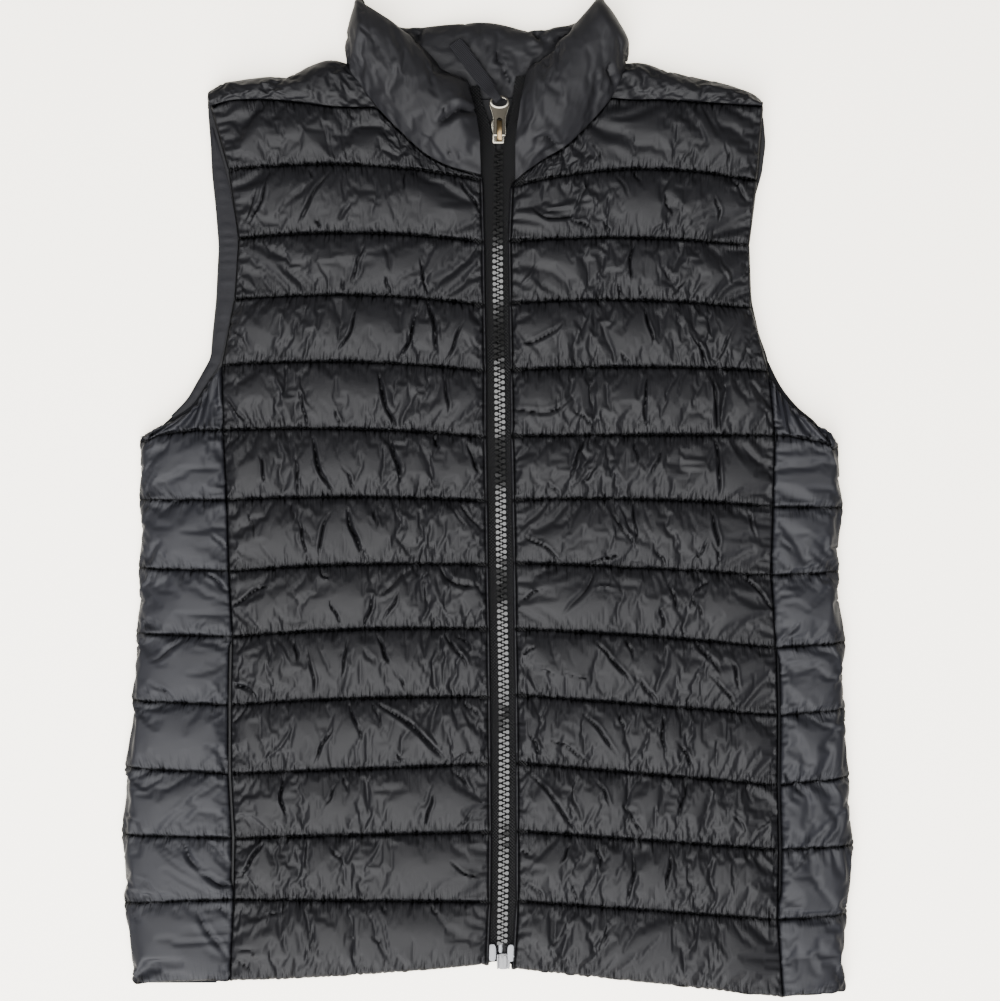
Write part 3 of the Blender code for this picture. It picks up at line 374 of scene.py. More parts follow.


# %% [markdown]
# ## The strongest creases
#
# The simulation decides where most creases go. The few strong ones that give this vest its face
# are placed one by one, each from one end to the other, bowed sideways at its middle, with a width
# and a depth. A negative depth is a raised fold. They are pressed into the cloth before it settles,
# so that the weaker creases arrange themselves around them, and sharpened afterwards.

# %% Creases of the fronts
CREASES = table("""
x y to_x to_y bow width depth
-69.2 143.1 -77.6 120.7 0.5 0.9 1.2
-57.4 143.1 -53.5 128 0 1.5 1
-57.4 125.7 -54.6 114 0.4 0.8 1.4
-37.8 135.2 -33.3 115.1 -0.5 0.8 1.5
-81.5 124.6 -80.4 116.2 0.3 0.8 1
-73.1 108.9 -83.7 83.2 2 0.8 1.5
-40 104.4 -49.6 78.7 1.6 0.8 1.5
-33.3 111.7 -28.3 83.2 1 1.1 1.9
-13.2 101.1 -22.7 77.6 0 0.8 1.4
-144 96 -133 84 0.5 1 -1
-61.3 72 -50.7 40 -1.5 1.1 2
-24.9 70.3 -21.6 48.4 0.6 0.8 1.3
-106.1 62.4 -101.1 40 1 0.8 1.3
-86 51.8 -82.6 41.2 0.3 0.8 1
-147 57.4 -135.2 42.3 -0.8 1 -1.2
-118.4 70.3 -114 57.4 0 1 -0.9
-97.7 35.6 -86 3.6 -2.5 1.1 2.1
-54.6 34.4 -48.4 9.8 0.8 1.1 2
-82 20.4 -74.2 5.3 1 0.8 1.2
-128 27.2 -124.6 7.6 1 0.9 1.4
-107.2 23.8 -106.7 3.1 0.8 0.8 1.1
-30.5 35.6 -27.2 28.8 0 0.9 1.2
-10.9 31.1 -4.5 14.8 0 0.9 1.4
-110.6 -0.8 -108.4 -11.5 0.4 0.8 1.1
-105.6 -10.4 -101.6 -30 0.4 0.8 1.5
-87.1 -6.4 -93.2 -33.3 -3 0.9 1.5
-78.7 -5.3 -70.3 -28.8 -0.8 1.2 2
-64.7 -4.2 -61.3 -14.8 0.4 0.9 1.4
-133.6 -6.4 -130.2 -21.6 0.4 0.8 1
-17.6 -0.8 -4 -16 0.5 0.7 1.2
-23 -1.5 -10 -17 0.5 0.6 0.8
-143.1 -59.6 -121.2 -46.2 1 0.9 1.5
-88.2 -55.7 -81.5 -68.6 -0.6 0.8 1.4
-64.1 -53.5 -69.2 -69.7 0.6 0.8 1.3
-49.6 -51.2 -59.1 -67.5 0.8 0.8 1.4
-42.3 -38.4 -62.4 -55.7 -1 1.8 1.2
-94.4 -37.2 -88.2 -44 -1.2 0.9 1.2
-27.2 -37.2 -4 -47.3 -4.5 2 1.8
-119 -77.6 -109.5 -91.6 0 1 -1
-108.4 -77.6 -105.6 -90.4 0 0.8 1.2
-101.1 -83.2 -96.6 -108.9 1 0.8 1.2
-78.7 -77.6 -81.5 -98.8 0.5 0.8 1.2
-61.3 -75.3 -54 -92.7 -0.5 0.9 1.6
-69.7 -83.2 -62.4 -91.6 0 1.5 1.1
-52.9 -93.8 -45.1 -106.7 0.5 0.8 1.2
-24.9 -75.3 -10.9 -93.8 1.2 0.9 1.6
-18.8 -74.2 -7.6 -84.3 0.8 0.8 1.1
-142 -102.2 -129.1 -109.5 1 1.2 1.8
-63.6 -111.7 -21.6 -147 2.5 1.3 2.3
-64.7 -112.8 -59.1 -124.6 0.3 0.8 1
-78.7 -112.8 -69.7 -135.2 0.8 0.8 1.2
-86 -126.8 -96.6 -146.4 -1 0.8 1.5
-108.4 -126.8 -129.1 -149.2 1.5 1.2 -1.3
-14.3 -112.8 -4 -121 0.5 0.8 1.2
-20.4 -147 -7 -139.7 0.8 0.8 1.1
-51.8 -140.8 -45.1 -147 -0.5 0.8 1.1
-114 -154.8 -112.8 -176.1 -2 0.9 1.6
-81.5 -152.6 -77.6 -163.2 0 0.8 1
-84.8 -158.8 -91.6 -171.6 0.5 0.8 1.2
-30.5 -163.2 -35.6 -182.8 0.6 0.8 1.5
-20.4 -150.4 -8.7 -162.1 0.5 0.8 1.2
-7.6 -172.8 -17.6 -184.5 0.4 0.8 1.1
82 144.2 80.9 120.7 -1.8 0.9 1.4
72.5 120.7 76.4 112.8 0 0.8 1.1
84.3 119.6 87.1 112.8 0 0.8 1
98.3 128 104.4 120.7 0.5 0.8 1.1
101.1 114 110 122.4 -0.5 0.8 1.1
28.3 132.4 18.8 119.6 0 1 -1
130.2 133.6 137.5 120.7 0 1 -1
86.5 108.9 92.7 87.1 0.8 0.8 1.5
73.6 83.2 79.8 76.4 0 0.8 1
115.1 91.6 122.9 76.4 0.6 0.8 1.2
137.5 97.7 125.7 75.3 1 0.8 1.2
17.6 88.2 42.3 100 -3.5 1.3 1.4
90.4 70.3 89.3 41.2 -2 0.9 1.6
124.6 71.4 128 40 1.5 0.9 1.6
15.4 51.8 47.9 57.4 -5.5 1.6 1.5
47.9 50.7 60.8 40 0.5 0.8 1.1
54 35.6 46.8 14.8 0.5 0.9 1.3
98.3 30 91.6 14.3 0 0.8 1.2
82 33.3 84.3 20.4 0 0.8 1.1
126.8 35.6 129.1 2 1.5 1 1.7
32.8 10.9 41.2 1.4 0.6 0.8 1.1
60.8 19.3 52.9 9.8 0.5 0.8 1.1
18.8 -19.3 41.2 -34.4 1.8 0.9 1.6
76.4 -28.8 55.2 -35 0.8 0.9 1.4
69.2 -7.6 82 -25.5 0.6 0.8 1.4
80.9 -0.8 83.2 -24.4 0.4 0.8 1.3
92.7 -26.6 100 -36.1 0.5 0.8 1.2
124.6 -5.3 129.1 -27.7 0.8 1.1 1.9
125.7 -21.6 130.2 -36.1 0.4 0.8 1.2
123.5 -21.6 115.1 -34.4 0.4 0.8 1.2
144.2 -3.1 150.4 -21.6 0.6 0.8 1.2
60.8 -39.5 42.3 -63 1.5 1.8 1.4
18.8 -55.7 31.6 -49 0.5 0.8 1.4
57.4 -49 75.3 -49 1 1.1 -1
101.1 -46.2 106.7 -61.9 0.4 0.8 1.3
123.5 -45.1 114 -51.2 0.4 0.8 1.1
114 -53.5 120.7 -66.4 0.4 0.8 1.2
140.8 -40.6 160.4 -61.9 1.4 0.9 1.6
96 -59.1 98.8 -71.4 0.4 0.8 1.1
59.6 -78.7 82 -104.4 1.2 0.9 1.7
76.4 -76.4 82 -88.2 0.4 0.8 1.3
80.9 -97.7 94.9 -112.8 0.8 1.2 1.7
115.1 -78.7 131.3 -97.7 1 1.2 1.7
123.5 -97.7 138.6 -115.1 1.6 0.9 1.5
135.8 -88.2 140.8 -106.7 0.8 0.9 1.4
27.2 -80.9 18.8 -86 0.3 0.8 1.2
24.9 -93.8 38.9 -97.7 0.5 0.8 1.1
38.9 -96 59.6 -101.1 0.6 0.6 0.9
52.9 -118.4 72.5 -142 1 1 1.8
32.8 -132.4 58.5 -148.1 1.4 0.9 1.4
23.2 -129.1 29.4 -144.2 0.5 0.8 1.4
98.3 -119.6 98.8 -139.7 -0.8 0.9 1.5
106.7 -135.2 115.1 -150.4 0.6 0.8 1.4
72.5 -118.4 76.4 -128 0.4 0.8 1.1
23.2 -151.5 49.6 -185.6 1.5 1 1.7
60.8 -156 69.2 -171.1 0.6 0.8 1.4
75.3 -170 86.5 -186.8 0.6 0.8 1.4
111.2 -157.1 106.7 -176.1 0.6 0.8 1.4
135.8 -173.9 145.3 -185.6 0.4 0.8 1.1
-123 180.5 -134.4 153.7 1.5 0.9 1.6
-128.9 176.5 -138.3 152.9 1.2 0.8 0.9
-87.2 185.2 -106.1 153.7 -1.5 0.9 1.4
-96.7 178.9 -119.4 157.6 -1 1.8 0.8
-99.8 185.2 -97.4 180.5 0 0.8 0.9
-77 165.5 -84 156.9 0 1.6 1
-96.7 156.9 -92.7 152.9 0 0.8 1.1
-46.8 184 -47.3 173.3 0.6 0.8 1.1
-17.2 180.6 -3.3 160.4 0.5 0.9 1.6
57.1 201.5 63.8 189.5 0.8 0.8 1.1
80.4 185.7 85.6 177.5 0 0.8 1.1
71.3 182.7 79.6 169.2 0.5 0.9 1
99.1 170 103.6 158.8 -0.5 0.8 1.3
126.8 170 129.9 156.5 0.8 0.8 1.4
135.9 181.2 145.6 167 0.5 1.1 1.2
57.1 182 50.3 165.5 0.5 1.4 0.9
24.6 163.5 49.2 160.3 -4 1.4 1.6
46.6 157.2 59.4 150.5 1 0.9 1.3
64.6 156.5 68.4 150.5 0 0.8 1.2
97.6 155 91.6 148.3 0 1 -1.2
132.8 200.8 135.1 185 0.5 0.8 1
114.1 196.2 108.1 189.5 0 0.8 0.9
-125 -190.7 -138.2 -210.4 -0.5 0.9 1.8
-110.2 -227.7 -129.9 -233.5 0.8 0.8 0.9
-141.4 -252.3 -126.6 -254.8 0.5 1 -0.9
-142.2 -256.4 -130.8 -264.6 0.5 0.9 1.2
-102 -189 -103.7 -212 0.5 1 -0.8
-22.1 -200.8 -3.6 -211.3 -1.5 0.8 1.3
-32.7 -225.8 -27.4 -232.5 0 0.8 1
-65.7 -241.7 -55.2 -254.9 0.5 0.8 0.9
-60.5 -224.5 -56.5 -231.1 0 0.8 1
-88.2 -194 -80.4 -203.4 0.5 0.9 1.3
46.6 -191.5 40 -203.4 0.4 0.8 1.3
60.5 -192.8 63.8 -204.7 0.4 0.8 1.2
46.6 -214 49.9 -224.6 0.4 0.8 1.2
82.3 -196.8 77.6 -227.2 1 0.8 0.9
102.1 -198.1 99.4 -217.9 0.5 0.8 1.6
22.8 -214 32 -223.2 0.8 0.8 1
45.2 -239 34.7 -249.7 0.4 0.8 0.8
67.7 -236.5 62.4 -252.3 0.4 0.8 0.8
17.5 -195.5 25.4 -199.4 0.5 0.8 1
47.9 -227.2 41.3 -235.1 0 1 -0.8
""")
print("placed creases:", len(CREASES))

# %% Press a crease
LIP_HEIGHT = 0.35
LIP_PLACE = 2.4
LIP_WIDTH = 1.2
STEEP_SIDE = 0.5
GENTLE_SIDE = 1.2
FOLD_SHADE = 0.42
FOLD_SHADE_STRENGTH = 0.75
WOBBLE = 0.4
WOBBLE_TURNS = 4.5
TAPER_FROM = 1.15
THINNEST_END = 0.35
NARROWEST_SHADE = 0.4
FULL_SHADE_DEPTH = 1.5
EARLY_DEPTH = 0.5
EARLY_WIDTH = 1.2


def on_side(creases, side):
    """The creases of a table that start on one side of the vest."""
    return [crease for crease in creases if crease["x"] * SIGN[side] > 0]


def grid_normals(points):
    facing = np.cross(np.gradient(points, axis=0), np.gradient(points, axis=1))
    return facing / np.maximum(np.linalg.norm(facing, axis=2, keepdims=True), 1e-9)


def press_creases(points, creases, deeper=1.0, wider=1.0):
    """Presses creases into a grid seen from above; a raised lip runs along both sides of each.

    Also gives the shade painted into each crease's trough, from 0 to 1, which darkens the cloth
    there.
    """
    depth = np.zeros(points.shape[:2])
    shade = np.zeros(points.shape[:2])
    for crease in creases:
        run = np.array([crease["to_x"] - crease["x"], crease["to_y"] - crease["y"]])
        half = np.linalg.norm(run) / 2
        middle = np.array([crease["x"], crease["y"]]) + run / 2
        east, north = np.moveaxis(points[..., :2] - middle, 2, 0)
        along = (east * run[0] + north * run[1]) / (2 * half * half)
        aside = (north * run[0] - east * run[1]) / (2 * half)
        wobble = WOBBLE * np.sin(WOBBLE_TURNS * along + half)
        aside = aside - crease["bow"] * (1 - along**2) - wobble
        taper = np.clip(TAPER_FROM - along**2, 0, 1)
        reach = crease["width"] * wider * (THINNEST_END + (1 - THINNEST_END) * taper)
        off_lip = (np.abs(aside) - LIP_PLACE * reach) / (LIP_WIDTH * reach)
        lip = LIP_HEIGHT * np.exp(-(off_lip**2))
        reach = reach * np.where(aside * crease["bow"] > 0, STEEP_SIDE, GENTLE_SIDE)
        trough = np.exp(-np.abs(aside / reach))
        depth += crease["depth"] * deeper * taper * (trough - lip)
        # Painted shade: a narrow dark line along the trough of each sunk crease.
        if crease["depth"] > 0:
            black = FOLD_SHADE_STRENGTH * np.minimum(1.0, crease["depth"] / FULL_SHADE_DEPTH) * taper
            narrow = FOLD_SHADE * (NARROWEST_SHADE + (1 - NARROWEST_SHADE) * taper)
            shade = np.maximum(shade, black * np.exp(-((aside / narrow) ** 2)))
    return points - grid_normals(points) * depth[..., None], shade


print("a crease's lips stand", LIP_HEIGHT, "of its depth high")

# %% [markdown]
# ## The fronts' cloth
#
# The edge beside the zip is folded and stitched flat, so its columns are pinned in that shape. The
# rest of the grid follows the channels, with the first and last row of each channel on the stitched
# lines. The spare cloth along a line varies from place to place, which leaves calm stretches
# between groups of creases.

# %% Lay out the fronts
COLUMN_STEP = 1.2
ROWS_A_CHANNEL = 18
STRIP_EDGE = ((0.0, 13.6), (0.3, 14.6), (0.8, 15.0), (1.3, 14.9), (1.8, 14.0))
STRIP_REACH = {"left": 1.0, "right": 1.8}
FIRST_LOFT = 5.5
CHANNEL_ROUNDNESS = 2.2
EDGE_ROUNDING = 10.0
SPARE_ALONG = 0.03
SPARE_ALONG_SPREAD = 0.038
SPARE_UP = 0.05
SPARE_PATCHES = 40
SPARE_STRETCH = 6
LEAST_SPARE = 0.01
MOST_SPARE = 0.25
FRONT_PRESSURE = 14.0
CLOTH_REACH = 14.0
plans = {}


def channel_rows(channels, rows_a_channel):
    """The channel and the rise of each row up a panel; the last row is on its top line."""
    rises = np.arange(rows_a_channel) / rows_a_channel
    channel = np.append(np.repeat(np.arange(channels), rows_a_channel), channels - 1)
    return channel, np.append(np.tile(rises, channels), 1.0)


def sewn_points(rise, across):
    """Which points of a grid are sewn down: those on its lines and on both of its side edges."""
    sewn = np.tile((rise == 0.0) | (rise == 1.0), (across, 1))
    sewn[[0, -1]] = True
    return sewn


def front_plan(side):
    """Shares across and rows up a front, and the channel and rise of each row."""
    lines = FRONT_LINES[side]
    width = abs(np.mean(column(lines, "side_x")) - np.mean(column(lines, "zip_x")))
    strip = [(offset - STRIP_REACH[side]) / width for offset, _ in STRIP_EDGE]
    columns = int(width * (1 - strip[-1]) / COLUMN_STEP)
    shares = np.array(strip[:-1] + list(np.linspace(strip[-1], 1.0, columns + 1)))
    if side == "left":
        shares = shares[::-1]
    return shares, *channel_rows(len(lines) - 1, ROWS_A_CHANNEL)


def front_grid(side, shares, channel, rise):
    """Points of a front in plan."""
    lines = np.stack([line_points(side, k, shares) for k in range(len(FRONT_LINES[side]))], 1)
    low = lines[:, channel]
    high = lines[:, channel + 1]
    return low + (high - low) * rise[None, :, None]


def spare_cloth(plan, along, along_spread, up, seed):
    """The flat shape that cloth was cut to, longer along the lines than the space it is sewn to."""
    noise = smooth_noise(plan.shape[:2], SPARE_PATCHES, seed, SPARE_STRETCH)
    extra = np.clip(along + along_spread * noise, LEAST_SPARE, MOST_SPARE)
    steps = np.diff(plan[..., 0], axis=0) * (extra[1:] + extra[:-1]) / 2
    spare = np.concatenate([np.zeros((1, plan.shape[1])), np.cumsum(steps, axis=0)])
    x = plan[..., 0] + spare - spare.mean(axis=0, keepdims=True)
    return np.stack([x, plan[..., 1] * (1 + up), np.zeros(plan.shape[:2])], 2)


for count, side in enumerate(SIGN):
    shares, channel, rise = front_plan(side)
    plan = front_grid(side, shares, channel, rise)
    width = np.ptp(plan[..., 0], axis=0)
    edge_distance = np.minimum(shares[:, None], 1 - shares[:, None]) * width[None]
    loft = (1 - np.abs(2 * rise - 1) ** CHANNEL_ROUNDNESS)[None]
    loft = loft * rounding(edge_distance, EDGE_ROUNDING)
    start = np.concatenate([plan, (SEAM_LEVEL + FIRST_LOFT * loft)[..., None]], 2)
    start, _ = press_creases(start, on_side(CREASES, side), EARLY_DEPTH, EARLY_WIDTH)
    pinned = sewn_points(rise, len(shares))
    offset = (shares - shares.min()) * width.mean() / np.ptp(shares)
    strip_x, strip_z = np.array(STRIP_EDGE).T
    in_strip = offset <= strip_x[-1] + 0.01
    start[in_strip, :, 2] = np.interp(offset[in_strip], strip_x, strip_z)[:, None]
    pinned[in_strip] = True
    cut = spare_cloth(plan, SPARE_ALONG, SPARE_ALONG_SPREAD, SPARE_UP, 11 + count)
    hang(f"front_{side}", start, cut, pinned, FRONT_PRESSURE, 21 + count)
    plans[f"front_{side}"] = {"rise": rise, "strip": in_strip}

# %% [markdown]
# ## The side panels
#
# A side panel starts at the seam beside the front, runs over the top of the vest, turns round its
# side and comes back underneath to the seam with the back. Flat sheets would leave a knife edge
# there. So each quilting line is a section right round the fold, and the rows between two lines
# blend from one section to the next. The last line is the low part of the armhole.

# %% Lines of the sides
# Where each quilting line of a side panel turns over the side fold, and the line's bow.
SIDE_LINES = {
    "left": table("""
fold_x fold_y bow
-199.6 -270.6 0
-204.2 -225.4 0
-205.4 -187.3 0
-203.6 -149.6 0
-200 -112.1 0
-197.5 -74.6 0
-196.2 -37.8 0
-195.8 0.3 0
-195.8 33 2.5
"""),
    "right": table("""
fold_x fold_y bow
201.5 -275.4 0
202 -232.1 0
205.5 -193.5 0
203.2 -155.4 0
201 -117.3 0
201.2 -79.8 0
197.4 -40 0
199.8 -4 0
197.4 29 2
"""),
}
# The low part of the armhole's edge: across a side panel from its seam to the fold, then back
# under it to the seam with the back.
ARMHOLE_TOP = table("""
left right
75.5 69
68 62.5
50.5 51.5
43.9 44
39.2 38.3
""")
ARMHOLE_FOLD = {"left": 35.6, "right": 31.8}
ARMHOLE_UNDER = table("""
left right
41 42
53 53
66.4 63
81 79
""")
# Sides of the back panel, from the hem to the shoulder.
BACK_SIDES = table("""
y left right
-290 -152 163
79.5 -155 157
93 -154 152
112 -152 147.8
143 -150.5 146.4
164 -152.2 147.8
183 -154.2 153.5
200 -155 155.7
215 -156.2 154.4
229 -157 154.5
""")
# Folds of the side panels: most run down towards the seam.
SIDE_CREASES = table("""
x y to_x to_y bow width depth
-158.2 -39.5 -145.3 -51.2 0.6 0.9 1.8
-154.8 -18.2 -145.9 -27.7 0.5 0.8 1.4
-187.3 -101.1 -176.7 -111.7 0 0.9 1.2
-184.5 -102.2 -174.4 -112.8 0 0.8 1
-190 -100.6 -180 -110.8 0 0.8 0.9
-170 -77 -187.9 -90.4 0.6 1.1 1.2
-194.6 -65.2 -186.8 -72.5 0 0.8 1
-158.2 -66.4 -163.2 -73.1 0 0.9 1
-171 -190 -160 -209 -1 1.3 1.8
-161 -208 -143 -216 -1.5 1.4 2.6
-164.4 -226.1 -144.7 -256.4 -1.5 1.3 1.6
-153.7 -225.2 -143.1 -235.1 0.5 0.9 1.2
-197.3 -210.4 -181.7 -221.9 0.5 1 1.1
-192.4 -258.1 -176 -266.3 0 2 0.8
-200.6 -231.8 -194.8 -235.9 0 0.8 0.8
-156.2 -189.9 -143.9 -203.8 0.5 0.9 1.3
-203.1 -175.1 -195.7 -181.7 0 0.8 0.9
163 -20 172 -30 -0.5 0.9 1.1
176 -66 164 -80 0.6 0.9 1.2
164 -150 178 -166 -0.8 1.2 1.4
186 -190 172 -206 0.8 1 1.2
""")
SIDE_TOP = (0.0, 0.12, 0.35, 0.6, 0.82)
SIDE_UNDER = (0.3, 0.6, 0.8, 1.0)
POCKET_SPAN = {"left": (-219.0, -77.0), "right": (-226.0, -84.0)}
SEAM_GAP = 0.2
POCKET_GAP = 1.8
FRONT_INSIDE = 9.4
BACK_INSIDE = 9.0
LINE_LIFT = 2.2
FOLD_INSET = 4.5
FOLD_LEVELS = (11.2, 6.0)
FOLD_WALL = 8.0
LINING_STEP = 0.5
print("lines on each side:", len(SIDE_LINES["left"]) + 1)

# %% Sections round a side


def back_edge(side, y):
    """The x of the seam between a side panel and the back, at y on the page."""
    return np.interp(y, column(BACK_SIDES, "y"), column(BACK_SIDES, side))


def side_line(side, index):
    """Outer and inner points of one line round a side panel, from front seam to back seam."""
    lines = SIDE_LINES[side]
    at_armhole = index == len(lines)
    row = lines[min(index, len(lines) - 1)]
    seam = line_points(side, index, [1.0])[0]
    fold = np.array([row["fold_x"], ARMHOLE_FOLD[side] if at_armhole else row["fold_y"]])
    bow = 0.0 if at_armhole else row["bow"]
    over = []
    for place, share in enumerate(SIDE_TOP):
        x, y = blend(seam, fold, share)
        y += bow * 4 * share * (1 - share)
        over.append((x, ARMHOLE_TOP[place][side] if at_armhole else y))
    under = []
    for place, share in enumerate(SIDE_UNDER):
        y = ARMHOLE_UNDER[place][side] if at_armhole else fold[1]
        under.append((fold[0] + (back_edge(side, y) - fold[0]) * share, y))
    inward = -SIGN[side]
    turn = [(FOLD_INSET, FOLD_LEVELS[0]), (0.0, FOLD_LEVELS[1]), (FOLD_INSET, LINE_LIFT)]
    outer = [(x, y, SEAM_LEVEL) for x, y in over]
    outer += [(fold[0] + inward * inset, fold[1], level) for inset, level in turn]
    outer += [(x, y, LINE_LIFT) for x, y in under]
    middle = (FRONT_INSIDE + BACK_INSIDE) / 2
    past = FOLD_WALL + LINING_STEP
    turn = [(past, FRONT_INSIDE), (FOLD_WALL, middle), (past, BACK_INSIDE)]
    inner = [(x, y, FRONT_INSIDE) for x, y in over]
    inner += [(fold[0] + inward * inset, fold[1], level) for inset, level in turn]
    inner += [(x, y, BACK_INSIDE) for x, y in under]
    return np.array(outer), np.array(inner)


print("stations round a side:", len(side_line("left", 0)[0]))

# %% [markdown]
# ## The sides' cloth
#
# The rows are laid on the blended sections, pushed out a little between the lines so that the
# pressure starts from a padded shape. The same grid, a little further in, becomes the lining.

# %% Lay out the sides
SIDE_STEP = 2.2
MIDDLE_LINE = 3
SIDE_SPARE = (0.027, 0.02, 0.035)
SIDE_PRESSURE = 16.0
POCKET_EASE = 6.0
SCALLOP = 3.2
UNDERSIDE_LOFT = 1.6
LAST_LOFT = 0.8
ARMHOLE_LOFT = 0.6


def pocket_share(side, y):
    """1 beside the pocket's opening in the side seam, and 0 past its ends."""
    low, high = POCKET_SPAN[side]
    return np.clip(np.minimum(y - low, high - y) / POCKET_EASE, 0.0, 1.0)


def side_grids(side):
    """Outer and inner grids of a side panel, the length round each row, and each row's rise."""
    channels = len(SIDE_LINES[side])
    lines = [side_line(side, index) for index in range(channels + 1)]
    length = np.linalg.norm(np.diff(lines[MIDDLE_LINE][0], axis=0), axis=1).sum()
    count = int(length / SIDE_STEP)
    outer, inner, runs = [], [], []
    channel, rise = channel_rows(channels, ROWS_A_CHANNEL)
    out = SIGN[side]
    for number, share in zip(channel, rise):
        stations = blend(lines[number][0], lines[number + 1][0], share)
        lining = blend(lines[number][1], lines[number + 1][1], share)
        puff = 1 - abs(2 * share - 1) ** CHANNEL_ROUNDNESS
        puff *= ARMHOLE_LOFT if number == channels - 1 else 1.0
        gap = SEAM_GAP + (POCKET_GAP - SEAM_GAP) * pocket_share(side, stations[0][1])
        stations[0][0] += out * gap
        lining[0][0] += out * gap
        over = len(SIDE_TOP)
        stations[1:over, 2] += FIRST_LOFT * puff
        stations[over, 2] += FIRST_LOFT * LAST_LOFT * puff
        stations[over + 1, 0] += out * SCALLOP * puff
        stations[over + 2 : -1, 2] -= UNDERSIDE_LOFT * puff
        places, run = even_places(stations, count=count)
        outer.append(curve_through(places, run, stations))
        inner.append(curve_through(places, run, lining))
        runs.append(places)
    outer, inner = np.array(outer).swapaxes(0, 1), np.array(inner).swapaxes(0, 1)
    return outer, inner, np.array(runs).T, rise


for count, side in enumerate(SIGN):
    outer, inner, run, rise = side_grids(side)
    cut_x = outer[:1, :, 0] + SIGN[side] * run
    if side == "left":
        outer, inner, cut_x = outer[::-1], inner[::-1], cut_x[::-1]
    flat = np.stack([cut_x, outer[..., 1], np.zeros_like(cut_x)], 2)
    cut = spare_cloth(flat, *SIDE_SPARE, 31 + count)
    hang(f"side_{side}", outer, cut, sewn_points(rise, len(outer)), SIDE_PRESSURE, 41 + count)
    plans[f"side_{side}"] = {"rise": rise, "lining": inner}

# %% [markdown]
# ## The back
#
# The vest lies on its back, so most of that panel is pressed flat on the table and its quilting
# shows as shallow grooves underneath. At the shoulders the back rolls forward to meet the fronts.
# The flat part and the two rolls are separate grids, which meet underneath where nothing shows,
# because one grid that bent round both shoulders and the neck would be badly stretched.

# %% Lines of the back
# The fold over each shoulder, a row for each place in ACROSS from the neck corner outwards.
SHOULDER_FOLD = table("""
left_x left_y right_x right_y
-76 243.6 75.5 246
-88.2 246.6 87.4 245
-100 243.2 99 241
-111.9 238 110.6 238
-123.9 237.2 122.2 234.6
-135.8 235.6 133.8 231.6
-147.7 234 145.5 228.2
-157 229.4 154.5 223.8
""")
BACK_NECK = table("""
x y
-64 233.5
-40 226.3
0 224.3
40 226.3
64 234.8
""")
UPPER_BACK_LINES = (72.0, 110.0, 146.0, 184.0)
BACK_HEM_RISE = 1.5
FLAP_DEPTH = 9.0
BACK_STEP = 5.0
BACK_ROWS = 7
BACK_SPARE = (0.02, 0.02, 0.01)
BACK_PRESSURE = 4.0


def hem_height(x):
    """The back hem's place on the page at x, just above the fronts' and the sides' lowest lines."""
    ends = []
    for side in SIGN:
        front, low = FRONT_LINES[side][0], SIDE_LINES[side][0]
        ends += [(low["fold_x"], low["fold_y"]), (front["side_x"], front["side_y"])]
        ends.append((front["zip_x"], front["zip_y"]))
    places, heights = np.array(sorted(ends)).T
    return np.interp(x, places, heights) + BACK_HEM_RISE


def back_lines():
    """Each quilting line of the back as its height at the left and at the right side."""
    pairs = zip(SIDE_LINES["left"][1:], SIDE_LINES["right"][1:])
    lines = [(left["fold_y"], right["fold_y"]) for left, right in pairs]
    return lines + [(height, height) for height in UPPER_BACK_LINES]


def back_top():
    """The back's top edge from left to right: below the shoulder folds, and at the neck seam."""
    left = column(SHOULDER_FOLD, "left_x", "left_y") - (0.0, FLAP_DEPTH)
    right = column(SHOULDER_FOLD, "right_x", "right_y") - (0.0, FLAP_DEPTH)
    return np.concatenate([left[::-1], column(BACK_NECK, "x", "y"), right])


def back_grid():
    """The underside of the back, column by column from right to left, and each row's rise."""
    top = back_top()
    shares = np.linspace(1.0, 0.0, int(np.ptp(top[:, 0]) / BACK_STEP))
    top_x = top[0, 0] + (top[-1, 0] - top[0, 0]) * shares
    edges = [hem_height(top_x)]
    edges += [low + (high - low) * shares for low, high in back_lines()]
    edges.append(np.interp(top_x, top[:, 0], top[:, 1]))
    edges = np.array(edges).T
    channel, rise = channel_rows(edges.shape[1] - 1, BACK_ROWS)
    y = edges[:, channel] * (1 - rise) + edges[:, channel + 1] * rise
    left, right = back_edge("left", y), back_edge("right", y)
    x = left + (right - left) * shares[:, None]
    level = LINE_LIFT * np.abs(2 * rise - 1)[None] ** 3 * np.ones_like(x)
    return np.stack([x, y, level], 2), rise


outer, rise = back_grid()
cut = spare_cloth(outer, *BACK_SPARE, 51)
hang("back", outer, cut, sewn_points(rise, len(outer)), BACK_PRESSURE, 52)
plans["back"] = {"rise": rise}

# %% Roll the shoulders
SHOULDER_CROWN = 16.0
SHOULDER_INSET = 0.35
SHOULDER_WALL = 0.55
ROLL_SLOPE = 0.93
ROLL_LEVELS = (0.8, 6.5)
SHOULDER_STEP = 1.7
SHOULDER_GROWTH = 1.03
SHOULDER_RIPPLE = 0.3
SHOULDER_HOLD = 0.08
SHOULDER_PRESSURE = 8.0


def grown(points, growth, ripple, seed):
    """A curved shape a little larger all over, and rippled, as the shape that cloth was cut to."""
    cut = points * growth
    cut[..., 2] += smooth_noise(points.shape[:2], 2, seed) * ripple
    return cut


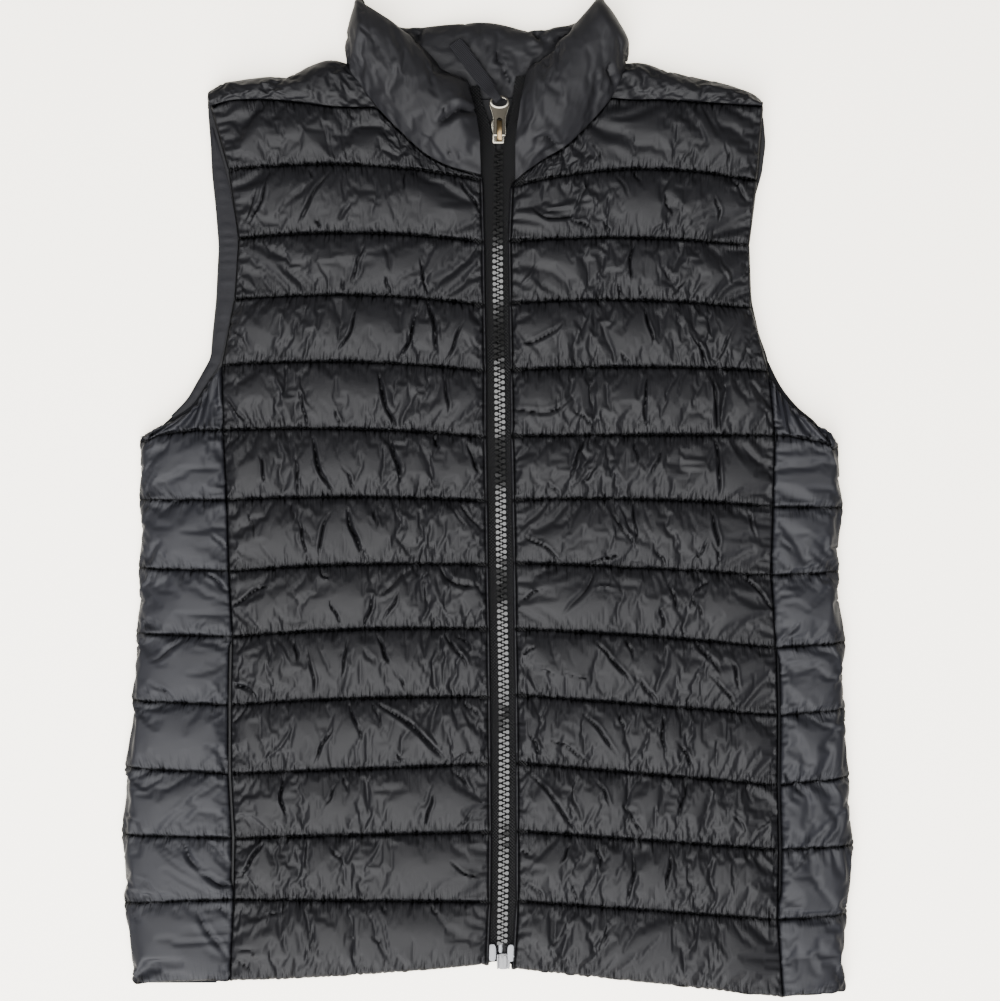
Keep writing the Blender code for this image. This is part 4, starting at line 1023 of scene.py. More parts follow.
def shoulder_sections(side):
    """Outer and inner sections over a shoulder, from the neck corner to the armhole."""
    outer, inner = [], []
    for place, row in enumerate(SHOULDER_FOLD):
        x, y = row[side + "_x"], row[side + "_y"]
        share = ACROSS[NECK_COLUMNS - 1 + place]
        seam = line_points(side, len(FRONT_LINES[side]) - 1, [share])[0] + (0.0, SEAM_GAP)
        reach = y - seam[1]
        inset = min(FOLD_INSET, SHOULDER_INSET * reach)
        roll = min(FOLD_WALL, SHOULDER_WALL * reach)
        ends = min(place, len(SHOULDER_FOLD) - 1 - place)
        crown = SEAM_LEVEL + (SHOULDER_CROWN - SEAM_LEVEL) * min(1.0, ends / 1.5)
        middle = (x + seam[0]) / 2
        outer.append([
            (x, y - FLAP_DEPTH, LINE_LIFT),
            (x, y - inset, ROLL_LEVELS[0]),
            (x, y, ROLL_LEVELS[1]),
            (x + (seam[0] - x) * 0.15, y - inset, crown * ROLL_SLOPE),
            (middle, (y - inset + seam[1]) / 2, crown),
            (seam[0], seam[1], SEAM_LEVEL),
        ])
        inner.append([
            (x, y - FLAP_DEPTH - LINING_STEP, BACK_INSIDE),
            (x, y - roll - 0.3, BACK_INSIDE),
            (x, y - roll, (BACK_INSIDE + FRONT_INSIDE) / 2),
            (x, y - roll - 0.3, FRONT_INSIDE),
            (middle, (y - roll + seam[1]) / 2, FRONT_INSIDE),
            (seam[0], seam[1], FRONT_INSIDE),
        ])
    return np.array(outer), np.array(inner)


def shoulder_grids(side):
    outer, inner = shoulder_sections(side)
    places, run = even_places(outer[:, 2], SHOULDER_STEP)
    outer = curve_through(places, run, outer)
    inner = curve_through(places, run, inner)
    lengths = np.linalg.norm(np.diff(outer, axis=1), axis=2)
    count = int(lengths.sum(axis=1).max() / SHOULDER_STEP)
    outer_rows, inner_rows = [], []
    for section, lining in zip(outer, inner):
        along, path = even_places(section, count=count)
        outer_rows.append(curve_through(along, path, section))
        inner_rows.append(curve_through(along, path, lining))
    return np.array(outer_rows), np.array(inner_rows)


for count, side in enumerate(SIGN):
    outer, inner = shoulder_grids(side)
    if side == "right":
        outer, inner = outer[::-1], inner[::-1]
    cut = grown(outer, SHOULDER_GROWTH, SHOULDER_RIPPLE, 61 + count)
    pinned = np.zeros(outer.shape[:2], bool)
    pinned[[0, -1]] = True
    pinned[:, [0, -1]] = True
    name = f"shoulder_{side}"
    hang(name, outer, cut, pinned, SHOULDER_PRESSURE, 63 + count, (), SHOULDER_HOLD)
    plans[name] = {"lining": inner}

# %% [markdown]
# ## The collar
#
# The stand collar is one padded strip. It starts at the zip as the wing that lies to the front,
# turns at the fold beside the neck, shows its inside across the back, and comes round to the other
# wing. Its sections run up the outside, over the top edge and down the inside, so the strip closes
# on itself. The wing's front ends and the neck seam are capped.

# %% Lines of the collar
# The collar. Each wing's top edge from the front corner to the side fold, a row for each station
# of its seam: the neck columns, half way up the shoulder's end, and the start of the fold.
WING_TOPS = table("""
left_x left_y right_x right_y
-11 233.2 21.6 240
-16 236 25.5 243
-23 240.3 30 245.8
-31 247 35 250
-42 257 41 257.5
-52.5 266 48.5 265.5
-62 272.5 54.5 272
-68.5 276.8 60 278.2
""")
WING_SEAM_ENDS = table("""
left_x left_y right_x right_y
-70.6 232.2 74.2 235.4
-77.4 242.6 77.6 245.2
""")
# Up a section of the collar, from the neck seam to the top edge: the fold's outline, and the
# heights of the wing and of the back of the collar.
COLLAR_RISE = table("""
up left_x left_y right_x right_y wing_inside wing_top under inside wall
0 -78.8 244 78.6 246.6 9.4 12.4 2.2 7.5 3
0.1 -79.4 248 79.2 249.6 10.9 17 0.6 9.6 5
0.35 -79.8 255.6 78.9 256.6 14.2 24.5 0 12.6 8
0.65 -77.6 265.4 73.6 266.6 14.2 26.5 0 12.6 8
0.9 -74.5 275 66.8 276.6 14.2 23 0.6 12 6
1 -73 278.6 64.4 279.6 15 19 3 9 4
""")
COLLAR_BACK = table("""
seam_x seam_y top_x top_y
-64 233.5 -65 274.2
-40 226.3 -46 265.4
-20 225.3 -22 267
0 224.3 0 268
20 225.3 24 263.6
40 226.3 44 266.4
64 234.8 58 273.6
""")
# The folds of the collar: across the left wing and at its front edge, on the right wing, and the
# hollows of the collar's back.
COLLAR_CREASES = table("""
x y to_x to_y bow width depth
-6 217.6 -27.6 209.6 -3 2.2 4.5
-23.1 196.8 -18 188.2 0.5 0.9 1.2
-17.2 195.7 -14 189.2 0.4 0.8 1
-25.8 218.7 -22.6 214.9 0.4 0.9 1.2
-30 205 -38 196 1 1.6 0.8
-70 262 -52 232 3 3 1
25.6 201 40.6 197.8 2.2 1.8 3.4
28 193 44 200 0.8 1 1.2
28.8 245 34.2 240.6 0.5 1.1 1.2
68.5 244 70.6 232.6 -1.5 1.8 2.4
64.1 248.1 62 218.1 1 3 0.9
-36.5 265.3 -39.8 255.6 -1 1.8 2.4
5.3 251.3 8.4 242.8 -1.2 1.3 2
8.4 242.8 11.7 232.1 0.8 1.4 2.2
-4 262 0 250 0.8 2.2 1
34.2 253.5 47 264.2 1.2 1.8 2.6
23.5 260 32 251.4 0.6 2.4 -1.4
26 262.5 30 258 0 1.2 1.6
-22 262 -8 245 2 3 0.8
""")
print("stations of a wing:", len(WING_TOPS), "and of the collar's back:", len(COLLAR_BACK))

# %% Lay out the collar
COLLAR_STEP = 2.3
COLLAR_ROWS = 46
COLLAR_GROWTH = 1.02
COLLAR_RIPPLE = 0.2
COLLAR_HOLD = 0.08
COLLAR_PRESSURE = 8.0
PLACKET_INSIDE = 12.9
PLACKET_TOP = 15.6
PLACKET_RISE = 0.45
WING_FRONT_BOW = 2.0


def wing_seam_point(side, station):
    """A point of the collar's lower edge, beside the neck seam of a front."""
    if station < NECK_COLUMNS:
        x, y = line_points(side, len(FRONT_LINES[side]) - 1, [ACROSS[station]])[0]
        return np.array([x - SIGN[side] * 0.4, y + 0.4])
    row = WING_SEAM_ENDS[station - NECK_COLUMNS]
    return np.array([row[side + "_x"], row[side + "_y"]])


def wing_sections(side):
    """Outer and inner points up each section of a wing, from the zip round the fold."""
    inward = -SIGN[side]
    sections = []
    for station, tops in enumerate(WING_TOPS):
        low = wing_seam_point(side, station)
        high = np.array([tops[side + "_x"], tops[side + "_y"]])
        section = []
        for rise in COLLAR_RISE:
            x, y = blend(low, high, rise["up"])
            inside, top = rise["wing_inside"], rise["wing_top"]
            if station == 0:
                x += inward * WING_FRONT_BOW * math.sin(math.pi * rise["up"])
                top = PLACKET_TOP + (max(top, PLACKET_TOP) - PLACKET_TOP) * PLACKET_RISE
            if station <= 1:
                inside, top = max(inside, PLACKET_INSIDE), max(top, PLACKET_TOP)
            section.append(((x, y, top), (x, y, inside)))
        sections.append(section)
    for turn in range(3):
        section = []
        for rise in COLLAR_RISE:
            x, y = rise[side + "_x"], rise[side + "_y"]
            middle = (rise["wing_inside"] + rise["inside"]) / 2
            round_off = min(FOLD_INSET, rise["wall"] * 0.6)
            outer_x = x + inward * (round_off, 0.0, round_off)[turn]
            inner_x = x + inward * (rise["wall"] + (LINING_STEP, 0.0, LINING_STEP)[turn])
            over, under = rise["wing_top"], rise["under"]
            top = (over * ROLL_SLOPE, over * 0.5, max(under, ROLL_LEVELS[0]))[turn]
            inside = (rise["wing_inside"], middle, rise["inside"])[turn]
            section.append(((outer_x, y, top), (inner_x, y, inside)))
        sections.append(section)
    return sections


def collar_sections():
    """Sections from the right wing round the back to the left wing, each up and down again."""
    back = []
    for row in COLLAR_BACK:
        low, high = np.array([row["seam_x"], row["seam_y"] + 0.4]), (row["top_x"], row["top_y"])
        spots = [(*blend(low, high, rise["up"]), rise) for rise in COLLAR_RISE]
        back.append([((x, y, rise["under"]), (x, y, rise["inside"])) for x, y, rise in spots])
    sections = wing_sections("right") + back[::-1] + wing_sections("left")[::-1]
    return np.array([[a for a, _ in s] + [b for _, b in s[::-1]] for s in sections])


def collar_grid():
    """The collar's points, station by station."""
    stations = collar_sections()
    places, run = even_places(stations[:, 2:4].mean(axis=1), COLLAR_STEP)
    stations = curve_through(places, run, stations)
    rows = []
    for section in stations:
        along, path = even_places(section, count=COLLAR_ROWS)
        rows.append(curve_through(along, path, section))
    return np.array(rows)


def zip_up(near, far):
    """Faces across a gap between two rows of points, which may end in one shared point."""
    return [[a, b, c, d] for a, b, c, d in zip(near, near[1:], far[1:], far)]


def collar_caps(across, up):
    """Faces that close the ends of the wings and the neck seam of a collar's grid."""
    numbers = np.arange(across * up).reshape(across, up)
    faces = zip_up(numbers[:, 0].tolist(), numbers[:, -1].tolist())
    for end in (numbers[0].tolist(), numbers[-1].tolist()):
        half = up // 2
        faces += zip_up(end[:half], end[: up - half - 1 : -1])
        if up % 2:
            faces.append([end[half - 1], end[half], end[half + 1]])
    return faces


outer = collar_grid()
cut = grown(outer, COLLAR_GROWTH, COLLAR_RIPPLE, 71)
pinned = np.zeros(outer.shape[:2], bool)
pinned[:, [0, -1]] = True
caps = collar_caps(*outer.shape[:2])
hang("collar", outer, cut, pinned, COLLAR_PRESSURE, 72, caps, COLLAR_HOLD)

# %% Let the cloth settle
settle(CLOTH_REACH)

# %% [markdown]
# ## From settled cloth to panels
#
# The settled grids are coarse, so each is halved along both axes on smooth curves that still turn
# sharply at the stitches. The finest details are too small for the simulation: the row of little
# gathers that a machine stitch leaves on both sides of a line, and the groove of the line itself.
# They are pressed into the fine grid along its normals, each gather with its own depth and lean.

# %% Gathers, grooves and creases
GATHER_PITCH = 3.5
LINE_APART = 37.0
PRESSED_SHADE = 0.75
GATHER_DEPTH = 0.75
GATHER_REACH = 3.2
GATHER_STRENGTH = (0.1, 1.0)
GATHER_LENGTHS = (0.5, 1.9)
GATHER_LEAN = 0.25
GATHER_SHIFT = 0.22
GATHER_HALF = 0.2
GROOVE_DEPTH = 0.9
GROOVE_REACH = 0.9
EDGE_NOTCH = 0.9
EDGE_GROOVE = 0.8
EDGE_REACH = 0.45
EDGE_SHADE = 0.65
SIDEWAYS = 0.3


def gathers(along, away, seed):
    """Depth of the gathers at a place along a stitched line and away from it."""
    rng = np.random.default_rng(seed)
    count = int(along.max() / GATHER_PITCH) + 2
    strength = rng.uniform(*GATHER_STRENGTH, count) ** 1.4
    length = rng.uniform(*GATHER_LENGTHS, count) * GATHER_REACH
    lean = rng.normal(0.0, GATHER_LEAN, count)
    shift = rng.uniform(-GATHER_SHIFT, GATHER_SHIFT, count)
    place = along / GATHER_PITCH
    tooth = np.clip(place.astype(int), 0, count - 1)
    aside = place - tooth - 0.5 - shift[tooth] - lean[tooth] * away / GATHER_PITCH
    trough = np.exp(-((aside / GATHER_HALF) ** 2)) * np.exp(-((away / length[tooth]) ** 1.6))
    return GATHER_DEPTH * strength[tooth] * trough


def sew(points, rows_a_channel, seed, shade=0.0, last_line=1.0):
    """Presses a groove and its gathers into a fine grid, at each row that is a stitched line.

    Also gives each point's place along the nearest line and away from it in metres, and the shade
    painted on it: that of its folds, and more as deep as the groove and gathers are pressed.
    """
    last_row = points.shape[1] - 1
    steps = np.linalg.norm(np.diff(points[..., :2], axis=0), axis=2)
    steps += np.abs(np.diff(points[..., 2], axis=0)) * 0.5
    along = np.concatenate([np.zeros((1, points.shape[1])), np.cumsum(steps, axis=0)])
    climbs = np.linalg.norm(np.diff(points, axis=1), axis=2)
    depth = np.zeros(points.shape[:2])
    nearest = np.full(points.shape[:2], np.inf)
    stitching_and_shade = np.zeros((*points.shape[:2], 3))
    for channel in range(last_row // rows_a_channel):
        low, high = channel * rows_a_channel, (channel + 1) * rows_a_channel
        climb = np.concatenate(
            [np.zeros((len(points), 1)), np.cumsum(climbs[:, low:high], axis=1)], axis=1
        )
        part = slice(low, high + 1)
        for away, row in ((climb, low), (climb[:, -1:] - climb, high)):
            line = np.repeat(along[:, row : row + 1], high - low + 1, 1)
            pressed = gathers(line, away, seed + channel * 2 + (row == high))
            pressed += GROOVE_DEPTH * np.exp(-((away / GROOVE_REACH) ** 2))
            pressed *= last_line if row == last_row else 1.0
            depth[:, part] = np.maximum(depth[:, part], pressed)
            closer = away < nearest[:, part]
            beside = np.stack([line + LINE_APART * row, away, 0 * away], 2) * MM
            stitching_and_shade[:, part][closer] = beside[closer]
            nearest[:, part][closer] = away[closer]
    # Painted shade: the groove and the gathers are darkened as deep as they are pressed.
    stitching_and_shade[..., 2] = np.maximum(shade, np.minimum(depth * PRESSED_SHADE, 1.0))
    pressed = grid_normals(points) * depth[..., None] * (SIDEWAYS, 1.0, 1.0)
    return points - pressed, stitching_and_shade


def sew_edge(points, stitched, seed):
    """Presses a stitched line that runs up one column, and its notches, and gives their painted
    shade.
    """
    line = points[stitched]
    away = np.linalg.norm(points - line[None], axis=2)
    along = np.repeat(run_of(line)[None], len(points), 0)
    depth = EDGE_NOTCH * gathers(along, away, seed)
    depth += EDGE_GROOVE * np.exp(-((away / EDGE_REACH) ** 2))
    # Painted shade along the groove and notches of the stitched line.
    return points - depth[..., None] * (0.0, 0.0, 1.0), np.minimum(EDGE_SHADE * depth, 1.0)


print("a gather every", GATHER_PITCH, "mm, up to", GATHER_DEPTH, "mm deep")

# %% [markdown]
# ## Closing a panel
#
# A panel is padded, so it has a thickness: a skirt runs round the edge of the outer grid, down to
# a lining. Where the lining is flat it is one face. Where the panel turns round a fold, the lining
# is the coarse grid again, and each of its edges is joined to two edges of the fine one, so that no
# gap is left and no faces are wasted inside. The skirts beside a seam lie in deep shade, which is
# painted on them through the same attribute as the painted shade of the folds.

# %% Panel meshes
SKIRT_BULGE = 0.5
SKIRT_INSET = 0.4
WALL_SHADE = 0.85


def border(across, up):
    """Numbers of the points round a grid's edge, starting along its first row."""
    numbers = np.arange(across * up).reshape(across, up)
    sides = [numbers[:-1, 0], numbers[-1, :-1], numbers[:0:-1, -1], numbers[0, :0:-1]]
    return np.concatenate(sides)


def add_piece(name, points, faces, material, smooth_angle=55.0, stitching_and_shade=None, shaded=False):
    """An object from points in millimetres, with the stitch places and painted shade that its
    fabric reads.
    """
    mesh = bpy.data.meshes.new(name)
    mesh.from_pydata((np.asarray(points) * MM).tolist(), [], faces)
    mesh.validate()
    mesh.shade_smooth()
    mesh.set_sharp_from_angle(angle=math.radians(smooth_angle))
    mesh.materials.append(material)
    if stitching_and_shade is not None:
        places = np.zeros((len(mesh.vertices), 3), np.float32)
        # Painted shade on the skirt and lining beside a seam; the outer grid's points then take
        # their own.
        places[:, 2] = WALL_SHADE if shaded else 0.0
        places[: stitching_and_shade.shape[0] * stitching_and_shade.shape[1]] = stitching_and_shade.reshape(-1, 3)
        # The attribute holds each point's place along and away from the nearest stitched line, and
        # its painted shade.
        layer = mesh.attributes.new("stitching_and_shade", "FLOAT_VECTOR", "POINT")
        layer.data.foreach_set("vector", places.ravel())
    thing = bpy.data.objects.new(name, mesh)
    bpy.context.scene.collection.objects.link(thing)
    return thing


def flat_lined(outer, level):
    """Points and faces of a panel over a flat lining at a level."""
    points = outer.reshape(-1, 3)
    loop = border(*outer.shape[:2])
    edge = points[loop]
    run = np.roll(edge, -1, 0) - np.roll(edge, 1, 0)
    out = np.stack([run[:, 1], -run[:, 0], 0 * run[:, 0]], 1)
    out /= np.maximum(np.linalg.norm(out, axis=1, keepdims=True), 1e-6)
    middle = edge + out * SKIRT_BULGE
    middle[:, 2] = (edge[:, 2] + level) / 2
    low = edge - out * SKIRT_INSET
    low[:, 2] = level
    first = len(points)
    rings = [loop, np.arange(len(loop)) + first, np.arange(len(loop)) + first + len(loop)]
    faces = grid_faces(*outer.shape[:2]).tolist()
    for upper, lower in zip(rings, rings[1:]):
        after_upper, after_lower = np.roll(upper, -1), np.roll(lower, -1)
        faces += np.stack([after_upper, upper, lower, after_lower], 1).tolist()
    faces.append(rings[-1][::-1].tolist())
    return np.concatenate([points, middle, low]), faces


def grid_lined(outer, lining):
    """Points and faces of a panel whose lining is a grid with half as many steps each way."""
    points = outer.reshape(-1, 3)
    first = len(points)
    fine = border(*outer.shape[:2])
    coarse = border(*lining.shape[:2]) + first
    f0, f1, f2 = fine[::2], fine[1::2], np.roll(fine[::2], -1)
    c0, c1 = coarse, np.roll(coarse, -1)
    faces = grid_faces(*outer.shape[:2]).tolist()
    faces += (grid_faces(*lining.shape[:2])[:, ::-1] + first).tolist()
    for corners in ((f1, f0, c0), (f1, c0, c1), (f2, f1, c1)):
        faces += np.stack(corners, 1).tolist()
    return np.concatenate([points, lining.reshape(-1, 3)]), faces


def refine(points, breaks_across=(), breaks_up=()):
    """A grid with twice as many steps both ways."""
    finer = halve(points, breaks_across)
    return halve(finer.swapaxes(0, 1), breaks_up).swapaxes(0, 1)


print("round a 3 by 4 grid:", border(3, 4).tolist())

# %% [markdown]
# ## Nylon
#
# The shell is a thin black taffeta with a soft shine. Its weave is a quarter of a millimetre, too
# fine to model, and between the creases it is never quite smooth. One node group works out both
# from the place on the object: fine threads and a faint crumple for the bump, and slow changes of
# roughness and tone. From the attribute that the panels carry it also reads the gathers beside the
# stitches and the painted shade of folds, grooves and skirts, and it paints dark ticks of shade
# between the gathers. Painted shade has to take the gloss as well as the colour, so it turns the
# cloth towards a metal, which mirrors only its own colour: black. Each fabric uses the group with
# its own sizes.

# %% Node helpers


def add_node(tree, kind, values=(), **fields):
    """A node with its fields set, and its inputs set or linked from a list of pairs."""
    made = tree.nodes.new(kind)
    for field, value in fields.items():
        setattr(made, field, value)
    for socket, value in values:
        if isinstance(value, bpy.types.NodeSocket):
            tree.links.new(value, made.inputs[socket])
        else:
            made.inputs[socket].default_value = value
    return made


def maths(tree, operation, a, b=0.0):
    return add_node(tree, "ShaderNodeMath", [(0, a), (1, b)], operation=operation).outputs[0]


def shader_group(name, inputs, outputs):
    """An empty shader node group with named float inputs and outputs."""
    tree = bpy.data.node_groups.new(name, "ShaderNodeTree")
    for label, value in inputs:
        socket = tree.interface.new_socket(label, in_out="INPUT", socket_type="NodeSocketFloat")
        socket.default_value = value
    for label in outputs:
        tree.interface.new_socket(label, in_out="OUTPUT", socket_type="NodeSocketFloat")
    return tree, tree.nodes.new("NodeGroupInput").outputs, tree.nodes.new("NodeGroupOutput").inputs


def new_material(name, colour, roughness, **sockets):
    """A Principled material; the sockets that are the same all over are set on the shader."""
    material = bpy.data.materials.new(name)
    material.use_nodes = True
    shader = material.node_tree.nodes["Principled BSDF"]
    shader.inputs["Base Color"].default_value = (*colour, 1.0)
    shader.inputs["Roughness"].default_value = roughness
    for socket, value in sockets.items():
        shader.inputs[socket.replace("_", " ")].default_value = value
    return material, material.node_tree, shader


print("node helpers ready")

# %% Fabric node group
GATHER_SPACING = 0.0011
GATHER_LENGTH = 0.012
GATHER_FADE = 0.0042
FABRIC_INPUTS = {
    "Thread pitch": 0.00026,
    "Thread height": 0.01,
    "Crumple size": 0.004,
    "Crumple height": 0.1,
    "Gather height": 0.0,
}


def fabric_group():
    """Heights of threads, crumple and gathers in millimetres, slow changes of tone, and painted
    shade.
    """
    labels = ["Height", "Tone", "Shade"]
    tree, given, out = shader_group("Fabric", FABRIC_INPUTS.items(), labels)
    place = tree.nodes.new("ShaderNodeTexCoord").outputs["Object"]
    apart = add_node(tree, "ShaderNodeSeparateXYZ", [(0, place)]).outputs
    turns = maths(tree, "DIVIDE", 2 * math.pi, given["Thread pitch"])
    warp = maths(tree, "SINE", maths(tree, "MULTIPLY", apart[0], turns))
    weft = maths(tree, "SINE", maths(tree, "MULTIPLY", apart[1], turns))
    threads = maths(tree, "MULTIPLY", maths(tree, "MULTIPLY", warp, weft), given["Thread height"])
    scale = maths(tree, "DIVIDE", 1.0, given["Crumple size"])
    values = [("Vector", place), ("Scale", scale), ("Detail", 3.0), ("Distortion", 0.9)]
    noise = add_node(tree, "ShaderNodeTexNoise", values).outputs[0]
    ridge = maths(tree, "ABSOLUTE", maths(tree, "SUBTRACT", noise, 0.5))
    ridge = maths(tree, "MULTIPLY", maths(tree, "POWER", ridge, 0.6), given["Crumple height"])
    stitching_and_shade = add_node(tree, "ShaderNodeAttribute", attribute_name="stitching_and_shade").outputs["Vector"]
    # The attribute's third value is the shade painted in folds, grooves and skirts.
    away, deep = add_node(tree, "ShaderNodeSeparateXYZ", [(0, stitching_and_shade)]).outputs[1:]
    sizes = [(0, stitching_and_shade), (1, (1 / GATHER_SPACING, 1 / GATHER_LENGTH, 1.0))]
    spaced = add_node(tree, "ShaderNodeVectorMath", sizes, operation="MULTIPLY").outputs[0]
    values = [("Vector", spaced), ("Scale", 1.0), ("Detail", 1.0), ("Distortion", 0.3)]
    gather = add_node(tree, "ShaderNodeTexNoise", values).outputs[0]
    fade = maths(tree, "EXPONENT", maths(tree, "DIVIDE", away, -GATHER_FADE))
    # Painted shade: dark ticks between the gathers beside a stitched line, added to the folds'
    # painted shade.
    values = [("Value", gather), (1, 0.46), (2, 0.3), (3, 0.0), (4, 1.0)]
    tick = add_node(tree, "ShaderNodeMapRange", values).outputs[0]
    shade = maths(tree, "ADD", deep, maths(tree, "MULTIPLY", tick, fade))
    shade = add_node(tree, "ShaderNodeClamp", [(0, shade)]).outputs[0]
    tree.links.new(shade, out["Shade"])
    gather = maths(tree, "MULTIPLY", maths(tree, "MULTIPLY", gather, fade), given["Gather height"])
    height = maths(tree, "ADD", maths(tree, "ADD", threads, ridge), gather)
    tree.links.new(height, out["Height"])
    values = [("Vector", place), ("Scale", 22.0), ("Detail", 2.0)]
    tree.links.new(add_node(tree, "ShaderNodeTexNoise", values).outputs[0], out["Tone"])
    return tree


FABRIC = fabric_group()
print("fabric group:", len(FABRIC.nodes), "nodes")

# %% Fabrics
PAINTED_SHADE_STRENGTH = 0.9
TONE_DARK, TONE_LIGHT = 0.82, 1.2
SMOOTHER, ROUGHER = 0.06, 0.08


def fabric(name, colour, roughness, shine, relief):
    """A cloth material; relief holds the values of FABRIC_INPUTS."""
    material, tree, shader = new_material(name, colour, roughness, Specular_IOR_Level=shine)
    group = add_node(tree, "ShaderNodeGroup", node_tree=FABRIC)
    for label, value in zip(FABRIC_INPUTS, relief):
        group.inputs[label].default_value = value
    height, slow, shade = (group.outputs[label] for label in ("Height", "Tone", "Shade"))
    values = [("Strength", 1.0), ("Distance", MM), ("Height", height)]
    bump = add_node(tree, "ShaderNodeBump", values)
    tree.links.new(bump.outputs["Normal"], shader.inputs["Normal"])
    values = [("Value", slow), (3, roughness - SMOOTHER), (4, roughness + ROUGHER)]
    rough = add_node(tree, "ShaderNodeMapRange", values)
    tree.links.new(rough.outputs[0], shader.inputs["Roughness"])
    tone = add_node(tree, "ShaderNodeMix", [("Factor", slow)], data_type="RGBA")
    tone.inputs["A"].default_value = (*[channel * TONE_DARK for channel in colour], 1.0)
    tone.inputs["B"].default_value = (*[channel * TONE_LIGHT for channel in colour], 1.0)
    # Painted shade: the colour darkens with the group's shade, and the cloth turns to a black
    # metal, which dims its gloss there.
    painted_shade = maths(tree, "MULTIPLY", shade, PAINTED_SHADE_STRENGTH)
    lit = maths(tree, "SUBTRACT", 1.0, painted_shade)
    tree.links.new(painted_shade, shader.inputs["Metallic"])
    values = [(0, tone.outputs["Result"]), ("Scale", lit)]
    shaded = add_node(tree, "ShaderNodeVectorMath", values, operation="SCALE")
    tree.links.new(shaded.outputs[0], shader.inputs["Base Color"])
    return material


NYLON = fabric(
    "nylon_shell", (0.0062, 0.0062, 0.0072), 0.38, 0.11, (0.00028, 0.01, 0.0045, 0.05, 0.9)
)
# The side panels are the shell's nylon, painted lighter and bluer for the light that they catch.
SIDE_NYLON_PAINTED_LIGHTER = fabric(
    "nylon_sides_painted_lighter", (0.0095, 0.0098, 0.0122), 0.44, 0.14, (0.00028, 0.01, 0.006, 0.03, 0.6)
)
COLLAR_NYLON = fabric(
    "nylon_collar", (0.0085, 0.0085, 0.0098), 0.5, 0.12, (0.00028, 0.01, 0.006, 0.03, 0.0)
)
FACING_CLOTH = fabric(
    "facing_cloth", (0.0062, 0.0062, 0.0078), 0.55, 0.12, (0.00032, 0.01, 0.003, 0.1, 0.0)
)
print("fabrics:", NYLON.name, SIDE_NYLON_PAINTED_LIGHTER.name, COLLAR_NYLON.name, FACING_CLOTH.name)

# %% [markdown]
# ## The padded panels
#
# Every panel is now the same few steps: refine its settled grid, sew its lines, keep it clear of
# its own lining and of the table, close it, and give it its fabric.

# %% Front panels
LATE_DEPTH = 0.95
LATE_WIDTH = 0.7
LEAST_WALL = 1.2
CLEAR_OF_TABLE = 0.05
fronts = {}
front_surface = {}
stitched_column = {}


def front_piece(side):
    name = f"front_{side}"
    plan = plans[name]
    stitched = int(np.nonzero(plan["strip"])[0][-1 if side == "right" else 0])
    stitched_column[side] = 2 * stitched
    fine = refine(settled[name], [stitched], range(0, len(plan["rise"]), ROWS_A_CHANNEL))
    fine, shade = press_creases(fine, on_side(CREASES, side), LATE_DEPTH, LATE_WIDTH)
    # Painted shade along the creases and along the grooves of both stitched edges.
    for count, edge in enumerate((stitched_column[side], 0 if side == "left" else -1)):
        fine, edge_shade = sew_edge(fine, edge, 150 + count)
        shade = np.maximum(shade, edge_shade)
    fine, stitching_and_shade = sew(fine, 2 * ROWS_A_CHANNEL, 100 if side == "left" else 200, shade)
    fine[..., 2] = np.maximum(fine[..., 2], FRONT_INSIDE + LEAST_WALL)
    shape = flat_lined(fine, FRONT_INSIDE)
    return add_piece(f"panel_{name}", *shape, NYLON, stitching_and_shade=stitching_and_shade, shaded=True), fine


for side in SIGN:
    fronts[side], front_surface[side] = front_piece(side)
    print(fronts[side].name, len(fronts[side].data.polygons), "faces")

# %% Side panels
SIDE_SHADE = 0.6
ARMHOLE_LINE = 0.15
sides = {}
side_surface = {}
for count, side in enumerate(SIGN):
    name = f"side_{side}"
    fine = refine(settled[name], (), range(0, len(plans[name]["rise"]), ROWS_A_CHANNEL))
    fine, shade = press_creases(fine, on_side(SIDE_CREASES, side))
    fine, edge_shade = sew_edge(fine, -1 if side == "left" else 0, 160 + count)
    # Painted shade of the side panels' creases, weaker than on the fronts, and of the seam's
    # groove.
    shade = np.maximum(SIDE_SHADE * shade, edge_shade)
    fine, stitching_and_shade = sew(fine, 2 * ROWS_A_CHANNEL, 300 + 100 * count, shade, ARMHOLE_LINE)
    fine[..., 2] = np.maximum(fine[..., 2], CLEAR_OF_TABLE)
    side_surface[side] = fine
    shape = grid_lined(fine, plans[name]["lining"])
    sides[side] = add_piece(
        f"panel_{name}", *shape, SIDE_NYLON_PAINTED_LIGHTER, stitching_and_shade=stitching_and_shade, shaded=True
    )
    print(sides[side].name, len(sides[side].data.polygons), "faces")

# %% Back panel
fine = refine(settled["back"], (), range(0, len(plans["back"]["rise"]), BACK_ROWS))
fine, stitching_and_shade = sew(fine, 2 * BACK_ROWS, 500)
fine[..., 2] = np.clip(fine[..., 2], CLEAR_OF_TABLE, BACK_INSIDE - LEAST_WALL)
back_surface = fine
points, faces = flat_lined(fine, BACK_INSIDE)
for side in SIGN:
    name = f"shoulder_{side}"
    roll = refine(settled[name])
    roll[..., 2] = np.maximum(roll[..., 2], CLEAR_OF_TABLE)
    roll_points, roll_faces = grid_lined(roll, plans[name]["lining"])
    faces += [[corner + len(points) for corner in face] for face in roll_faces]
    points = np.concatenate([points, roll_points])
back = add_piece("panel_back", points, faces, NYLON, stitching_and_shade=stitching_and_shade)
print(back.name, len(back.data.polygons), "faces")

# %% Collar
COLLAR_SHADE = 0.6
fine = refine(settled["collar"])
fine, shade = press_creases(fine, COLLAR_CREASES)
